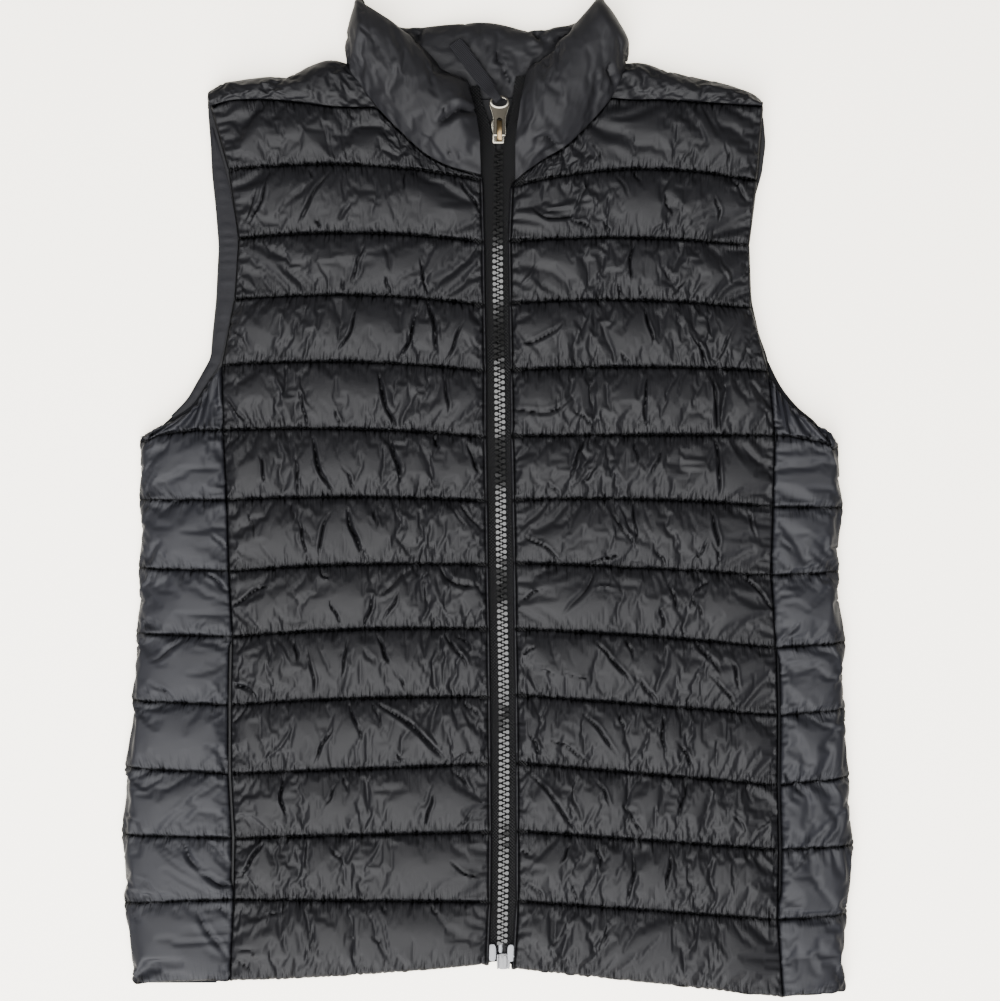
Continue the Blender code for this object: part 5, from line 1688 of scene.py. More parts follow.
# The collar has no quilting lines, so its attribute carries only the painted shade of its creases.
stitching_and_shade = np.stack([0 * shade, 1 + 0 * shade, COLLAR_SHADE * shade], 2)
fine[..., 2] = np.maximum(fine[..., 2], CLEAR_OF_TABLE)
faces = grid_faces(*fine.shape[:2]).tolist() + collar_caps(*fine.shape[:2])
points = fine.reshape(-1, 3)
collar = add_piece("padded_collar", points, faces, COLLAR_NYLON, stitching_and_shade=stitching_and_shade)
print(collar.name, len(collar.data.polygons), "faces")

# %% [markdown]
# ## The zip
#
# The zip is a moulded one. Its tapes are woven, each with a cord along the edge that the teeth
# grip. A tooth is a rounded body with a narrower neck and a head that reaches past the middle of
# the chain; the two sides are half a pitch apart. Some three hundred teeth could be copied in a
# loop, but a Geometry Nodes group keeps their pitch, disorder and tilt as named inputs. The chain
# never lies quite flat, so its teeth tip forward and back in a slow wave, and whole stretches of
# them catch the light or stay dark.

# %% Lines of the zip
# The middle of the chain, from its lower end up.
CHAIN_PATH = table("""
y x
-247.5 8.2
-191 9.1
-112 9.1
-33 7.8
75 6.6
134 5.7
198.5 6.2
""")
CHAIN_END = CHAIN_PATH[-1]["y"]
# Edges of each tape past the end of the chain, where the halves part along the collar's wings.
TAPE_ENDS = {
    "left": table("""
y wing_x teeth_x lift
206 -9.5 2.8 0
214 -12 0.4 0.5
223 -14 -3 1.4
231.5 -15 -4.6 1.4
"""),
    "right": table("""
y wing_x teeth_x lift
206 21.5 9.6 0
214 22.5 12 0.5
224 24 14.2 1.4
237.5 25 15.6 1.4
"""),
}
TAPE_UNDERLAP = 5.0
TAPE_TAIL_Y = -258.0
TAPE_TAIL_SPREAD = {"left": 1.0, "right": 2.2}
TAPE_LEVELS = (11.7, 12.5)
TOOTH_GRIP = 1.2
CORD = ((0.0, -0.25), (0.25, 0.15), (0.7, 0.3), (1.15, 0.15), (1.5, 0.0))
TAPE_STEP = 3.0
print("the chain ends at", CHAIN_END, "mm")

# %% Zip tapes


def two_sided(top, bottom):
    """Points and faces of a thin closed piece, from its upper and lower grids."""
    first = top.shape[0] * top.shape[1]
    upper = border(*top.shape[:2])
    lower = upper + first
    faces = grid_faces(*top.shape[:2]).tolist()
    faces += (grid_faces(*top.shape[:2])[:, ::-1] + first).tolist()
    faces += np.stack([np.roll(upper, -1), upper, lower, np.roll(lower, -1)], 1)[..., ::-1].tolist()
    return np.concatenate([top.reshape(-1, 3), bottom.reshape(-1, 3)]), faces


def tape_rows(side):
    """Rows up a tape: y, its edge under the front, its edge beside the teeth, and its lift."""
    way = SIGN[side]
    edge = column(FRONT_LINES[side], "zip_y", "zip_x")
    rows = []
    for step in CHAIN_PATH:
        under = np.interp(step["y"], edge[:, 0], edge[:, 1]) + way * TAPE_UNDERLAP
        rows.append((step["y"], under, step["x"] + way * TOOTH_GRIP, 0.0))
    spread = way * TAPE_TAIL_SPREAD[side]
    rows.insert(0, (TAPE_TAIL_Y, rows[0][1], rows[0][2] + spread, 0.0))
    rows += [(row["y"], row["wing_x"], row["teeth_x"], row["lift"]) for row in TAPE_ENDS[side]]
    return np.array(rows)


def tape_grids(side):
    rows = tape_rows(side)
    y = np.linspace(rows[0, 0], rows[-1, 0], int(np.ptp(rows[:, 0]) / TAPE_STEP))
    under, teeth, lift = (np.interp(y, rows[:, 0], rows[:, place]) for place in (1, 2, 3))
    columns = [(teeth + SIGN[side] * away, height) for away, height in CORD]
    cord_end = columns[-1][0]
    columns += [(cord_end + (under - cord_end) * share, 0.0) for share in (0.35, 0.7, 1.0)]
    if side == "left":
        columns = columns[::-1]
    low, high = TAPE_LEVELS
    top = np.array([np.stack([x, y, high + lift + height], 1) for x, height in columns])
    bottom = top.copy()
    bottom[..., 2] = low + lift[None]
    return top, bottom


TAPE_CLOTH = fabric(
    "zip_tape", (0.002, 0.002, 0.0023), 0.5, 0.16, (0.0018, 0.4, 0.002, 0.05, 0.0)
)
tapes = {}
for side in SIGN:
    tapes[side] = add_piece(f"tape_{side}", *two_sided(*tape_grids(side)), TAPE_CLOTH)
    print(tapes[side].name, len(tapes[side].data.polygons), "faces")

# %% [markdown]
# ## Moulded and stamped plates
#
# Teeth, slider, pull and box are moulded or stamped, and none of their edges is quite sharp. A
# Bevel modifier could round them. A plate that is built in rings, from one outline drawn in a
# little at its top and bottom, gets a clean edge with fewer faces, and takes holes as outlines too.

# %% Rounded plates
HARD_ANGLE = 40.0


def outset(outline, by):
    """A closed outline moved outwards along its own normals, or inwards if by is negative."""
    outline = np.asarray(outline, float)
    run = np.roll(outline, -1, 0) - np.roll(outline, 1, 0)
    normal = np.stack([run[:, 1], -run[:, 0]], 1)
    normal /= np.maximum(np.linalg.norm(normal, axis=1, keepdims=True), 1e-6)
    return outline + normal * by


def round_outline(centre, radius, count=24, squash=1.0):
    turn = np.arange(count) * math.tau / count
    across, up = radius * np.cos(turn), radius * squash * np.sin(turn)
    return np.stack([centre[0] + across, centre[1] + up], 1)


def smooth_outline(corners, repeats=2):
    """A closed outline with its corners cut again and again, which rounds them."""
    points = np.asarray(corners, float)
    for _ in range(repeats):
        after = np.roll(points, -1, 0)
        cuts = [points * 0.8 + after * 0.2, points * 0.2 + after * 0.8]
        points = np.stack(cuts, 1).reshape(-1, 2)
    return points


def mirrored(outline, middle):
    """An outline turned over about a middle line, in the order that goes on from the first."""
    return (np.asarray(outline) * (-1.0, 1.0) + (2 * middle, 0.0))[::-1]


def plate(outlines, low, high, edge=0.2, upright=False):
    """Points and faces of a plate with rounded edges; outlines after the first are holes."""
    shape = bmesh.new()
    levels = ((low, -edge), (low + edge * 0.3, -edge * 0.3), (low + edge, 0.0))
    levels += ((high - edge, 0.0), (high - edge * 0.3, -edge * 0.3), (high, -edge))
    ends = {0: [], len(levels) - 1: []}
    for number, outline in enumerate(outlines):
        out = 1.0 if number == 0 else -1.0
        rings = []
        for level, inset in levels:
            ring = outset(outline, out * inset)
            rings.append([shape.verts.new((*point, level)) for point in ring])
        for below, above in zip(rings, rings[1:]):
            count = len(below)
            for place in range(count):
                after = (place + 1) % count
                corners = (below[place], below[after], above[after], above[place])
                shape.faces.new(corners if number == 0 else corners[::-1])
        for level in ends:
            ring = rings[level]
            ends[level] += [shape.edges.get((a, b)) for a, b in zip(ring, ring[1:] + ring[:1])]
    for edges in ends.values():
        bmesh.ops.triangle_fill(shape, use_beauty=True, edges=edges)
    bmesh.ops.recalc_face_normals(shape, faces=shape.faces)
    shape.verts.index_update()
    points = np.array([vertex.co[:] for vertex in shape.verts])
    faces = [[vertex.index for vertex in face.verts] for face in shape.faces]
    shape.free()
    return (points[:, [2, 0, 1]] if upright else points), faces


def joined(*parts):
    """Several sets of points and faces as one."""
    points, faces, first = [], [], 0
    for more_points, more_faces in parts:
        points.append(np.asarray(more_points))
        faces += [[corner + first for corner in face] for face in more_faces]
        first += len(more_points)
    return np.concatenate(points), faces


def box_plate(left, right, low_y, high_y, low, high, edge=0.2):
    corners = [(left, low_y), (right, low_y), (right, high_y), (left, high_y)]
    return plate([smooth_outline(corners)], low, high, edge)


def add_hard(name, material, *parts):
    """A hard piece that is made of plates."""
    return add_piece(name, *joined(*parts), material, smooth_angle=HARD_ANGLE)


print("plate points:", len(plate([round_outline((0, 0), 3)], 0, 1)[0]))

# %% Teeth node group
TOOTH_PITCH = 3.15
WAVE_LENGTH = 70.0
WAVE_CREST = 126.0
WAVE_TILT = -0.15
WAVE_LEAN = 0.03
TOOTH_LEVELS = (10.9, 13.5)
TOOTH_EDGE = 0.22
TOOTH_SHAPE = (
    (-0.5, -2.7), (-0.78, -2.45), (-0.86, -1.95), (-0.74, -1.45), (-0.42, -1.15), (-0.2, -1.0),
    (-0.16, -0.6), (-0.28, -0.35), (-0.32, -0.05), (-0.2, 0.2), (0.0, 0.27), (0.2, 0.2),
    (0.32, -0.05), (0.28, -0.35), (0.16, -0.6), (0.2, -1.0), (0.42, -1.15), (0.74, -1.45),
    (0.86, -1.95), (0.78, -2.45), (0.5, -2.7),
)
# What the group for copies along lines is given: name, kind and first value.
ALONG_INPUTS = (
    ("Pitch", "Float", 0.003),
    ("Item", "Object", None),
    ("Disorder", "Float", 0.0),
    ("Seed", "Int", 1),
    ("Material", "Material", None),
    ("Tilt", "Float", 0.0),
    ("Lean", "Float", 0.0),
    ("Wave length", "Float", 0.07),
    ("Crest", "Float", 0.0),
)


def geometry_group(name, inputs):
    """An empty Geometry Nodes group with named inputs: (name, socket type, value)."""
    tree = bpy.data.node_groups.new(name, "GeometryNodeTree")
    tree.interface.new_socket("Geometry", in_out="INPUT", socket_type="NodeSocketGeometry")
    for label, kind, value in inputs:
        socket = tree.interface.new_socket(label, in_out="INPUT", socket_type="NodeSocket" + kind)
        if value is not None:
            socket.default_value = value
    tree.interface.new_socket("Geometry", in_out="OUTPUT", socket_type="NodeSocketGeometry")
    return tree, tree.nodes.new("NodeGroupInput").outputs, tree.nodes.new("NodeGroupOutput").inputs


def along_group():
    """Sets an object along every line of a mesh, turned to follow it, with a little disorder.

    The objects also tip forward and back in a slow wave, as on a zip that does not lie quite flat;
    past half a wave beyond the crest they all tip the same way.
    """
    tree, given, out = geometry_group("Along lines", ALONG_INPUTS)
    curve = add_node(tree, "GeometryNodeMeshToCurve", [(0, given["Geometry"])])
    values = [("Curve", curve.outputs[0]), ("Length", given["Pitch"])]
    spaced = add_node(tree, "GeometryNodeResampleCurve", values, mode="LENGTH")
    item = add_node(tree, "GeometryNodeObjectInfo", [("Object", given["Item"])])
    tangent = add_node(tree, "GeometryNodeInputTangent")
    values = [("Vector", tangent.outputs[0])]
    turned = add_node(tree, "FunctionNodeAlignRotationToVector", values, axis="X")
    position = add_node(tree, "GeometryNodeInputPosition")
    place = add_node(tree, "ShaderNodeSeparateXYZ", [(0, position.outputs[0])])
    facing = add_node(tree, "ShaderNodeSeparateXYZ", [(0, tangent.outputs[0])])
    phase = maths(tree, "SUBTRACT", place.outputs[1], given["Crest"])
    phase = maths(tree, "MINIMUM", maths(tree, "DIVIDE", phase, given["Wave length"]), 0.5)
    phase = maths(tree, "MULTIPLY", phase, 2 * math.pi)
    tip = maths(tree, "MULTIPLY", maths(tree, "COSINE", phase), given["Tilt"])
    tip = maths(tree, "MULTIPLY", maths(tree, "ADD", tip, given["Lean"]), facing.outputs[1])
    tip = add_node(tree, "ShaderNodeCombineXYZ", [(1, tip)])
    values = [(0, turned.outputs[0]), (1, tip.outputs[0])]
    tipped = add_node(tree, "FunctionNodeRotateRotation", values, rotation_space="LOCAL")
    low = maths(tree, "MULTIPLY", given["Disorder"], -1.0)
    values = [("Min", low), ("Max", given["Disorder"]), ("Seed", given["Seed"])]
    chance = add_node(tree, "FunctionNodeRandomValue", values, data_type="FLOAT_VECTOR")
    values = [("Points", spaced.outputs[0]), ("Rotation", tipped.outputs[0])]
    values.append(("Instance", item.outputs["Geometry"]))
    placed = add_node(tree, "GeometryNodeInstanceOnPoints", values)
    values = [("Instances", placed.outputs[0]), ("Rotation", chance.outputs["Value"])]
    tilted = add_node(tree, "GeometryNodeRotateInstances", values)
    real = add_node(tree, "GeometryNodeRealizeInstances", [(0, tilted.outputs[0])])
    values = [("Geometry", real.outputs[0]), ("Material", given["Material"])]
    finish = add_node(tree, "GeometryNodeSetMaterial", values)
    tree.links.new(finish.outputs[0], out[0])
    return tree


ALONG = along_group()
print("group:", ALONG.name, len(ALONG.nodes), "nodes")

# %% Chain


def set_along(name, lines, item, material, pitch, disorder=0.0, seed=1, **more):
    """A piece made of copies of item along lines of points, in millimetres."""
    points = np.concatenate(lines) * MM
    edges, first = [], 0
    for line in lines:
        edges += [(first + place, first + place + 1) for place in range(len(line) - 1)]
        first += len(line)
    mesh = bpy.data.meshes.new(name + "_lines")
    mesh.from_pydata(points.tolist(), edges, [])
    thing = bpy.data.objects.new(name, mesh)
    bpy.context.scene.collection.objects.link(thing)
    modifier = thing.modifiers.new("along", "NODES")
    modifier.node_group = ALONG
    values = {"Pitch": pitch * MM, "Item": item, "Disorder": disorder, "Seed": seed}
    values |= {"Material": material, **more}
    for socket in ALONG.interface.items_tree:
        if socket.in_out == "INPUT" and socket.name in values:
            modifier[socket.identifier] = values[socket.name]
    bpy.context.view_layer.update()
    graph = bpy.context.evaluated_depsgraph_get()
    made = bpy.data.meshes.new_from_object(thing.evaluated_get(graph))
    thing.modifiers.clear()
    thing.data = made
    made.shade_smooth()
    made.set_sharp_from_angle(angle=math.radians(50))
    return thing


TOOTH_PLASTIC = new_material(
    "tooth_plastic", (0.003, 0.003, 0.003), 0.22, Specular_IOR_Level=0.42
)[0]
middle_level = sum(TOOTH_LEVELS) / 2
levels = [level - middle_level for level in TOOTH_LEVELS]
tooth = add_piece("tooth", *plate([TOOTH_SHAPE], *levels, TOOTH_EDGE), TOOTH_PLASTIC)
steps = np.arange(CHAIN_PATH[0]["y"] + 1.0, CHAIN_END - 1.0, 2.0)
chain_x = curve_through(steps, column(CHAIN_PATH, "y"), column(CHAIN_PATH, "x"))
chain = np.stack([chain_x, steps, 0 * steps + middle_level], 1)
offset = np.array([0.0, TOOTH_PITCH / 2, 0.0])
chain_lines = [chain, (chain - offset)[::-1]]
wave = {"Tilt": WAVE_TILT, "Lean": WAVE_LEAN}
wave |= {"Wave length": WAVE_LENGTH * MM, "Crest": WAVE_CREST * MM}
teeth = set_along("zip_teeth", chain_lines, tooth, TOOTH_PLASTIC, TOOTH_PITCH, 0.05, 5, **wave)
print(teeth.name, len(teeth.data.polygons), "faces")

# %% [markdown]
# ## Machine stitches
#
# Each quilting line is a row of stitches in black thread, half sunk in the cloth. A texture could
# draw them, but close to, each thread catches the light by itself. The group that sets the teeth
# also sets a small bead of a dozen faces again and again along every line, turned a little at
# random, because no two stitches pull alike.

# %% Stitches
STITCH_PITCH = 2.6
BACK_STITCH_PITCH = 3.2
STITCH_DISORDER = 0.06
STITCH_LIFT = (0.0, 0.0, 0.1)
STITCH_SIZE = (1.05, 0.3, 0.28)
THREAD = new_material("black_thread", (0.001, 0.001, 0.0011), 0.7, Specular_IOR_Level=0.1)[0]
bpy.ops.mesh.primitive_uv_sphere_add(segments=4, ring_count=3, radius=1.0)
stitch = bpy.context.object
stitch.name = "stitch"
for vertex in stitch.data.vertices:
    vertex.co = [value * size * MM for value, size in zip(vertex.co, STITCH_SIZE)]


def stitched_rows(surface, rows_a_channel, trim=1):
    """The quilting lines of a fine grid, without the two edges that they end in."""
    rows = range(rows_a_channel, surface.shape[1] - 1, rows_a_channel)
    return [surface[trim:-trim, row] + STITCH_LIFT for row in rows]


def quilt(name, lines, pitch, seed):
    quilting[name] = set_along(name, lines, stitch, THREAD, pitch, STITCH_DISORDER, seed)
    print(name, len(quilting[name].data.polygons), "faces")


quilting = {}
for side in SIGN:
    lines = stitched_rows(front_surface[side], 2 * ROWS_A_CHANNEL)
    lines.append(front_surface[side][stitched_column[side], 2:-2] + STITCH_LIFT)
    quilt(f"quilting_front_{side}", lines, STITCH_PITCH, 7)
    lines = stitched_rows(side_surface[side], 2 * ROWS_A_CHANNEL, 2)
    quilt(f"quilting_side_{side}", lines, STITCH_PITCH, 8)
quilt("quilting_back", stitched_rows(back_surface, 2 * BACK_ROWS), BACK_STITCH_PITCH, 9)

# %% [markdown]
# ## Slider, pull and ribbon
#
# The slider is two plates joined by a wedge, with flanges that close the teeth. A bridge over its
# top holds the pull, a stamped shank with raised rims that opens into a ring. The metal is nickel,
# duller in its recesses, with a golden bridge, and fine noise in its roughness stands for the wear
# of many hands. A ribbon is looped through the ring. It could be simulated, but it is stiff and
# folded once, so it is swept along a path through the eye and over itself.

# %% Slider
PIVOT = (6.7, 204.4, 17.5)
SLIDER_X = 6.1
SLIDER_PLATES = ((9.3, 10.5), (13.6, 14.8))
SLIDER_OUTLINE = (
    (2.6, 199.6), (3.3, 200.3), (3.3, 205.1), (3.6, 207.4), (4.1, 209.6), (3.9, 212.0),
    (2.8, 213.2), (1.0, 213.4),
)
BAIL_OUTLINE = (
    (200.4, 14.2), (200.4, 17.6), (200.9, 18.9), (202.0, 19.7), (211.0, 19.7), (212.1, 18.9),
    (212.4, 17.6), (212.4, 14.2), (211.4, 14.2), (211.4, 17.4), (210.8, 18.7), (202.6, 18.7),
    (201.4, 17.4), (201.4, 14.2),
)
BAIL_WIDTH = 3.0
FLANGE = ((2.65, 200.0), (3.3, 200.0), (3.3, 205.2), (3.95, 209.4), (3.3, 209.4), (2.65, 205.2))
FLANGE_EDGES = (11.4, 12.7)
OVERLAP = 0.3


def worn_metal(name, colour, smooth, rough):
    """Metal whose roughness changes from speck to speck."""
    material, tree, shader = new_material(name, colour, smooth, Metallic=1.0)
    place = tree.nodes.new("ShaderNodeTexCoord").outputs["Object"]
    values = [("Vector", place), ("Scale", 900.0), ("Detail", 4.0)]
    wear = add_node(tree, "ShaderNodeTexNoise", values).outputs[0]
    spread = add_node(tree, "ShaderNodeMapRange", [("Value", wear), (3, smooth), (4, rough)])
    tree.links.new(spread.outputs[0], shader.inputs["Roughness"])
    return material


NICKEL = worn_metal("nickel", (0.17, 0.16, 0.135), 0.16, 0.3)
DULL_NICKEL = worn_metal("dull_nickel", (0.04, 0.036, 0.029), 0.35, 0.6)
GOLD = worn_metal("golden_bail", (0.12, 0.085, 0.045), 0.25, 0.4)

half = np.array(SLIDER_OUTLINE) + (SLIDER_X, 0.0)
slider_outline = np.concatenate([half, mirrored(half, SLIDER_X)])
lower, upper = SLIDER_PLATES
parts = [plate([slider_outline], *upper, 0.35)]
parts.append(plate([outset(slider_outline, -0.2)], *lower, 0.35))
wedge = round_outline((SLIDER_X, 210.2), 1.4, 16, 1.4)
parts.append(plate([wedge], lower[0] + 0.4, upper[1] - 0.4))
for way in (-1.0, 1.0):
    flange = [(SLIDER_X + way * across, y) for across, y in FLANGE]
    flange = flange if way > 0 else flange[::-1]
    parts.append(plate([flange], FLANGE_EDGES[1], upper[0] + OVERLAP, 0.15))
    parts.append(plate([flange], lower[1] - OVERLAP, FLANGE_EDGES[0], 0.15))
slider = add_hard("slider", DULL_NICKEL, *parts)
rim = outset(slider_outline, -0.7)
rim = plate([slider_outline, rim[::-1]], upper[1] - OVERLAP, upper[1] + 0.45)
slider_rim = add_hard("slider_rim", NICKEL, rim)
bail_levels = (PIVOT[0] - BAIL_WIDTH / 2, PIVOT[0] + BAIL_WIDTH / 2)
bail = add_piece("slider_bail", *plate([BAIL_OUTLINE], *bail_levels, 0.3, upright=True), GOLD)
print(slider.name, len(slider.data.polygons), "faces")

# %% Pull
# The pull, from its crossbar to the top of its ring.
PULL_SHAPE = table("""
y half
203.3 3.3
204.4 3.7
208.5 3.6
213.5 3.8
216.3 4.4
218.3 5.1
220.4 5.7
222.4 5.9
224.2 5.1
225.6 3.7
226.4 1.8
""")
EYE = (6.7, 222.4)
EYE_HALF = (4.75, 2.95)
SLOT = (1.5, 205.05, 213.85)
PULL_LEVELS = (16.9, 18.1)
PULL_WEB = (17.2, 17.8)
PULL_RIM = 0.75
RIM_TOP = 221.0
FOOT = ((-3.3, 203.3), (3.3, 203.3), (3.5, 204.9), (-3.5, 204.9))

places = np.linspace(PULL_SHAPE[0]["y"], PULL_SHAPE[-1]["y"], 40)
widths = curve_through(places, column(PULL_SHAPE, "y"), column(PULL_SHAPE, "half"))
right = np.stack([PIVOT[0] + widths, places], 1)
pull_outline = np.concatenate([right, mirrored(right, PIVOT[0])])
eye = round_outline(EYE, EYE_HALF[0], 36, EYE_HALF[1] / EYE_HALF[0])
bend = np.linspace(0.0, math.pi, 9)
slot = [(PIVOT[0] - SLOT[0], SLOT[1]), (PIVOT[0] + SLOT[0], SLOT[1])]
slot += [
    (PIVOT[0] + SLOT[0] * math.cos(a), SLOT[2] - SLOT[0] + SLOT[0] * math.sin(a)) for a in bend
]
slot = np.array(slot)
ring = outset(eye, 0.75)
web = plate([outset(pull_outline, -0.3), eye[::-1], slot[::-1]], *PULL_WEB, 0.1)
pull_web = add_hard("pull_web", DULL_NICKEL, web)
parts = [plate([ring, eye[::-1]], *PULL_LEVELS, 0.3)]
outer = right[places < RIM_TOP]
strip = np.concatenate([outer, (outer - (PULL_RIM, 0.0))[::-1]])
parts += [plate([edge], *PULL_LEVELS, 0.3) for edge in (strip, mirrored(strip, PIVOT[0]))]
foot = np.array(FOOT) + (PIVOT[0], 0.0)
parts.append(plate([smooth_outline(foot, 1)], *PULL_LEVELS, 0.25))
pull = add_hard("pull", NICKEL, *parts)
print(pull.name, len(pull.data.polygons), "faces")

# %% Ribbon
# The ribbon's path: how far out from the middle of the ring's eye, its height and its width.
RIBBON_PATH = table("""
out z width
42 16 8
22 16.6 8
9.5 17.4 7
6.4 18.7 5.6
4 19 4.8
1.8 18.7 4.4
0.8 17.5 4.4
1.8 16.3 4.4
4 16 4.8
6.4 16.1 5.6
9.5 16.2 7
22 15.5 8
42 14.9 8
""")
RIBBON_HEADING = 126.0
RIBBON_THICKNESS = 0.6
RIBBON_ACROSS = (-1.0, -0.92, -0.5, 0.0, 0.5, 0.92, 1.0)
RIBBON_SELVAGE = 0.35
RIBBON_STEPS = 110
RIBBON_WAVE = 0.25
RIBBON_WAVE_RUN = 5.0
RIBBON_WAVE_FROM = 12.0
RIBBON_CLOTH = fabric(
    "grosgrain", (0.005, 0.005, 0.0065), 0.62, 0.15, (0.0013, 0.15, 0.004, 0.1, 0.0)
)

path = column(RIBBON_PATH, "out", "z", "width")
places, run = even_places(path[:, :2], count=RIBBON_STEPS)
path = curve_through(places, run, path)
wavy = path[:, 0] > RIBBON_WAVE_FROM
path[:, 1] += RIBBON_WAVE * np.sin(places / RIBBON_WAVE_RUN) * wavy
tangent = np.gradient(path[:, :2], axis=0)
tangent /= np.linalg.norm(tangent, axis=1, keepdims=True)
normal = np.stack([tangent[:, 1], -tangent[:, 0]], 1) * RIBBON_THICKNESS / 2
heading = math.radians(RIBBON_HEADING)
ahead = np.array([math.cos(heading), math.sin(heading)])
aside = np.array([-math.sin(heading), math.cos(heading)])
faces_of_ribbon = []
for way in (-1.0, 1.0):
    grid = []
    for across in RIBBON_ACROSS:
        thin = RIBBON_SELVAGE if abs(across) == 1.0 else 1.0
        out = path[:, 0] + way * normal[:, 0] * thin
        level = path[:, 1] + way * normal[:, 1] * thin
        plan = np.array(EYE) + out[:, None] * ahead + (across * path[:, 2:] / 2) * aside
        grid.append(np.concatenate([plan, level[:, None]], 1))
    faces_of_ribbon.append(np.array(grid))
ribbon = add_piece("ribbon", *two_sided(*faces_of_ribbon), RIBBON_CLOTH)

# %% [markdown]
# ## Lower end of the zip
#
# At the hem a pin on one half of the zip goes into a retainer box on the other, and films stiffen
# both tapes so that fingers can hold them. These are plain mouldings, so each is a few plates set
# into one another. The films let a little of the tape show through.

# %% Lower end of the zip
# The retainer box: its body, its two ribs, and the raised fields between them.
BOX_PARTS = table("""
left right low_y high_y low high
5.2 12.6 -262.4 -253.6 10.4 13.2
5.2 6.3 -262.2 -253.8 12.9 14
11.4 12.6 -262.2 -253.8 12.9 14
8.6 11 -261.6 -254.4 12.9 13.8
6.6 8.3 -256.4 -254.2 12.9 13.6
""")
PIN_PARTS = table("""
left right low_y high_y low high
6.3 8.3 -253.2 -248 11 13.2
6.7 7.9 -253 -248.4 13 13.4
""")
# The film on the left tape, then on the right.
FILMS = table("""
left right low_y high_y low high
0.6 4.8 -257.8 -248.4 12.9 13.3
11.2 15 -257.8 -248.4 14.3 14.7
""")
CLEAR = new_material(
    "clear_plastic", (0.16, 0.165, 0.18), 0.3, Specular_IOR_Level=0.6, Alpha=0.9
)[0]
BOX_PLASTIC = new_material(
    "box_plastic", (0.075, 0.075, 0.08), 0.3, Specular_IOR_Level=0.6, Coat_Weight=0.4
)[0]
zip_box = add_hard("box", BOX_PLASTIC, *[box_plate(**part) for part in BOX_PARTS])
zip_pin = add_hard("pin", CLEAR, *[box_plate(**part) for part in PIN_PARTS])
films = {}
for side, film in zip(SIGN, FILMS):
    films[side] = add_piece(f"film_{side}", *box_plate(**film, edge=0.1), CLEAR)
print("box, pin and films made")

# %% [markdown]
# ## The armhole's facing
#
# Inside the armhole a narrow strip of cloth is turned over the raw edge, and it puckers where it
# follows the curve. Of so narrow a strip only the two edges and the puckers show. It needs no
# simulation: it is laid between its edges and raised along its middle, unevenly.

# %% Armhole facing
# The strip of the back's inside that shows in the left armhole.
FACING = table("""
outer_x outer_y inner_x inner_y
-155 209 -154 209
-154.2 189 -148.2 189
-152.2 171.6 -144 171.6
-150.3 147 -140.2 147
-151.2 113 -142.4 113
-153.6 90 -147.2 90
-156.4 78 -150.4 76.5
-162.6 66.5 -158.2 64.5
-168.2 57.5 -165 54.5
-177.6 47.4 -175.8 46.4
""")
FACING_LEVELS = (9.3, 10.1)
FACING_STEP = 1.0
FACING_COLUMNS = 7
FACING_GATHER = 2.4
FACING_HUMP = 0.35
FACING_UNEVEN = 0.6
FACING_EDGE = 0.3

rows = column(FACING, "outer_x", "outer_y", "inner_x", "inner_y")
places, run = even_places(rows[:, :2], FACING_STEP)
rows = curve_through(places, run, rows)
shares = np.linspace(0.0, 1.0, FACING_COLUMNS)
plan = np.array([blend(rows[::-1, :2], rows[::-1, 2:], share) for share in shares])
rng = np.random.default_rng(81)
knots = np.arange(0.0, run[-1] + FACING_GATHER, FACING_GATHER)
gather = np.interp(places, knots, rng.uniform(-1.0, 1.0, len(knots)))
uneven = 1 + FACING_UNEVEN * gather[None, ::-1]
hump = FACING_HUMP * np.sin(math.pi * shares)[:, None] * uneven
top = np.concatenate([plan, (FACING_LEVELS[1] - FACING_EDGE + hump)[..., None]], 2)
bottom = np.concatenate([plan, np.full((*plan.shape[:2], 1), FACING_LEVELS[0])], 2)
facing = add_piece("facing", *two_sided(top, bottom), FACING_CLOTH)
print(facing.name, "is", round(run[-1]), "mm long")

# %% [markdown]
# ## Table top and light
#
# The vest lies on a plain pale surface, which glows a little so that it stays clean and bright
# beside the black cloth. The glow is seen and isn't mirrored, so the shade below the rounded sides
# keeps their rims dark. Two large soft lights, one over the middle and a wide one low beyond the
# hem, are mirrored by the satin: the lower two thirds of each channel catch them evenly, and the
# upper third, which leans away from both, stays dark.

# %% Floor
FLOOR_GLOW = 1.8
floor_material, tree, shader = new_material("pale_table", (0.93, 0.885, 0.8), 0.7)
shader.inputs["Emission Color"].default_value = (1.0, 0.93, 0.8, 1.0)
seen = tree.nodes.new("ShaderNodeLightPath").outputs["Is Camera Ray"]
tree.links.new(maths(tree, "MULTIPLY", seen, FLOOR_GLOW), shader.inputs["Emission Strength"])
bpy.ops.mesh.primitive_plane_add(size=6.0, location=(0.0, 0.0, -0.0002))
floor = bpy.context.object
floor.name = "table_top"
floor.data.materials.append(floor_material)
print("table top glows by", FLOOR_GLOW)

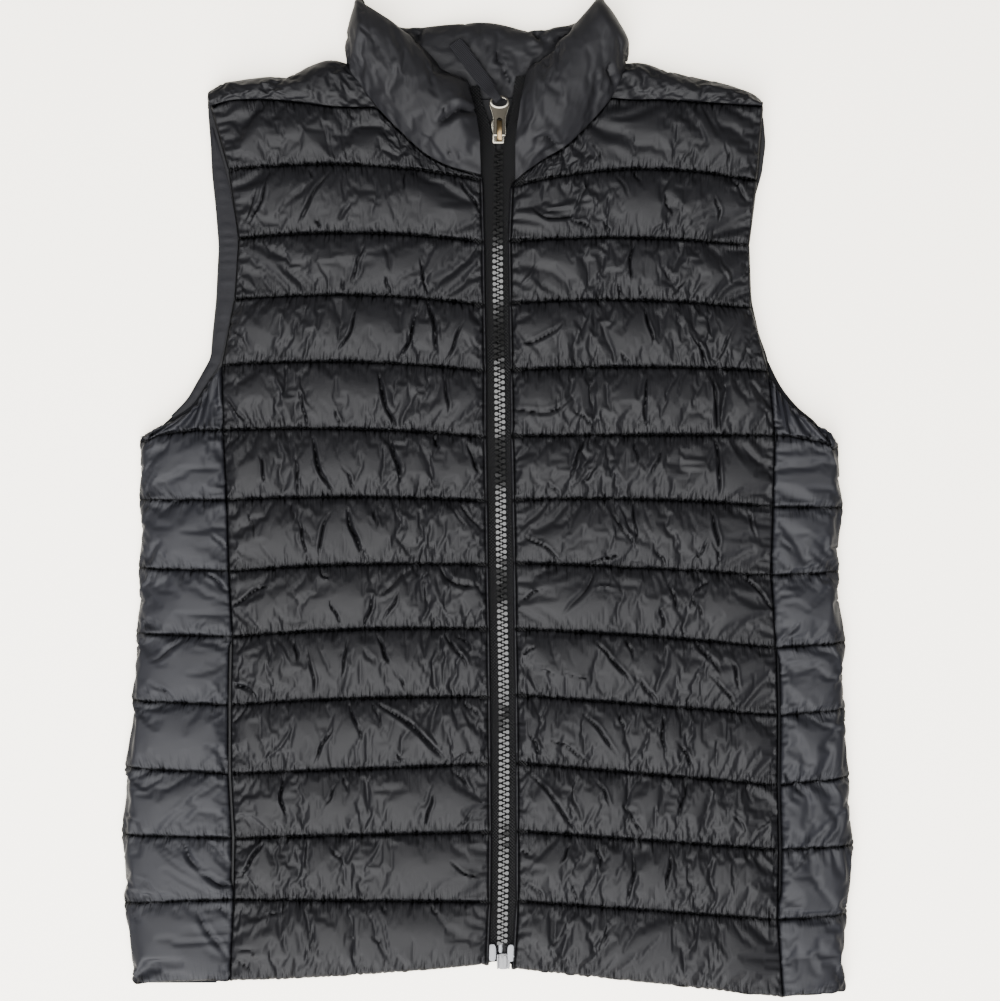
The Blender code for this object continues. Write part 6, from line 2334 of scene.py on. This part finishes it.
# %% Lights
LIGHTS = table("""
x y z width length energy
-0.15 -0.45 1.50 1.5 1.5 84
-0.6 -1.85 0.95 2 1.7 133
""")
for row in LIGHTS:
    light = bpy.data.lights.new("softbox", "AREA")
    light.energy = row["energy"]
    light.shape = "RECTANGLE"
    light.size = row["width"]
    light.size_y = row["length"]
    lamp = bpy.data.objects.new("softbox", light)
    bpy.context.scene.collection.objects.link(lamp)
    lamp.location = (row["x"], row["y"], row["z"])
    aim = (-lamp.location).to_track_quat("-Z", "Y")
    lamp.rotation_euler = aim.to_euler()
    lamp.visible_camera = False
world = bpy.data.worlds.new("studio")
world.use_nodes = True
world.node_tree.nodes["Background"].inputs["Color"].default_value = (1.0, 0.99, 0.97, 1.0)
world.node_tree.nodes["Background"].inputs["Strength"].default_value = 0.35
bpy.context.scene.world = world
print("lights:", len(LIGHTS))

# %% [markdown]
# ## Bodies
#
# Each piece stands for its solids and rides on a body of the model, so that it moves with it.

# %% Tie the pieces to the solids
for side in SIGN:
    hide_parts(f"front_{side}")
    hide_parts(f"side_{side}")
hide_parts("back")
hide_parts("collar")
for piece in (*fronts.values(), *sides.values(), back, collar):
    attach(piece, "vest")
for piece, node, finish in (
    (teeth, "zip_chain", "zip_teeth"),
    (slider, "zip_slider", "zip_metal"),
    (zip_box, "zip_box", "zip_teeth"),
    (zip_pin, "zip_pin", "zip_teeth"),
    (films["left"], "zip_film_left", "zip_film"),
    (films["right"], "zip_film_right", "zip_film"),
    (facing, "armhole_facing_left", "facing"),
    (tapes["left"], "zip_tape_left", "zip_tape"),
    (tapes["right"], "zip_tape_right", "zip_tape"),
):
    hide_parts(node)
    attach(piece, "vest")
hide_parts("zip_pull")
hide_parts("pull_ribbon")
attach(pull, "pull")
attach(ribbon, "pull")
for piece, body in ((bail, "vest"), (slider_rim, "vest"), (pull_web, "pull")):
    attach(piece, body)
for piece in quilting.values():
    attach(piece, "vest")
for side in SIGN:
    grid = tape_grids(side)[0]
    width = float(np.ptp(grid[..., 0], axis=0).mean()) * MM
for template in (tooth, stitch):
    bpy.data.objects.remove(template, do_unlink=True)
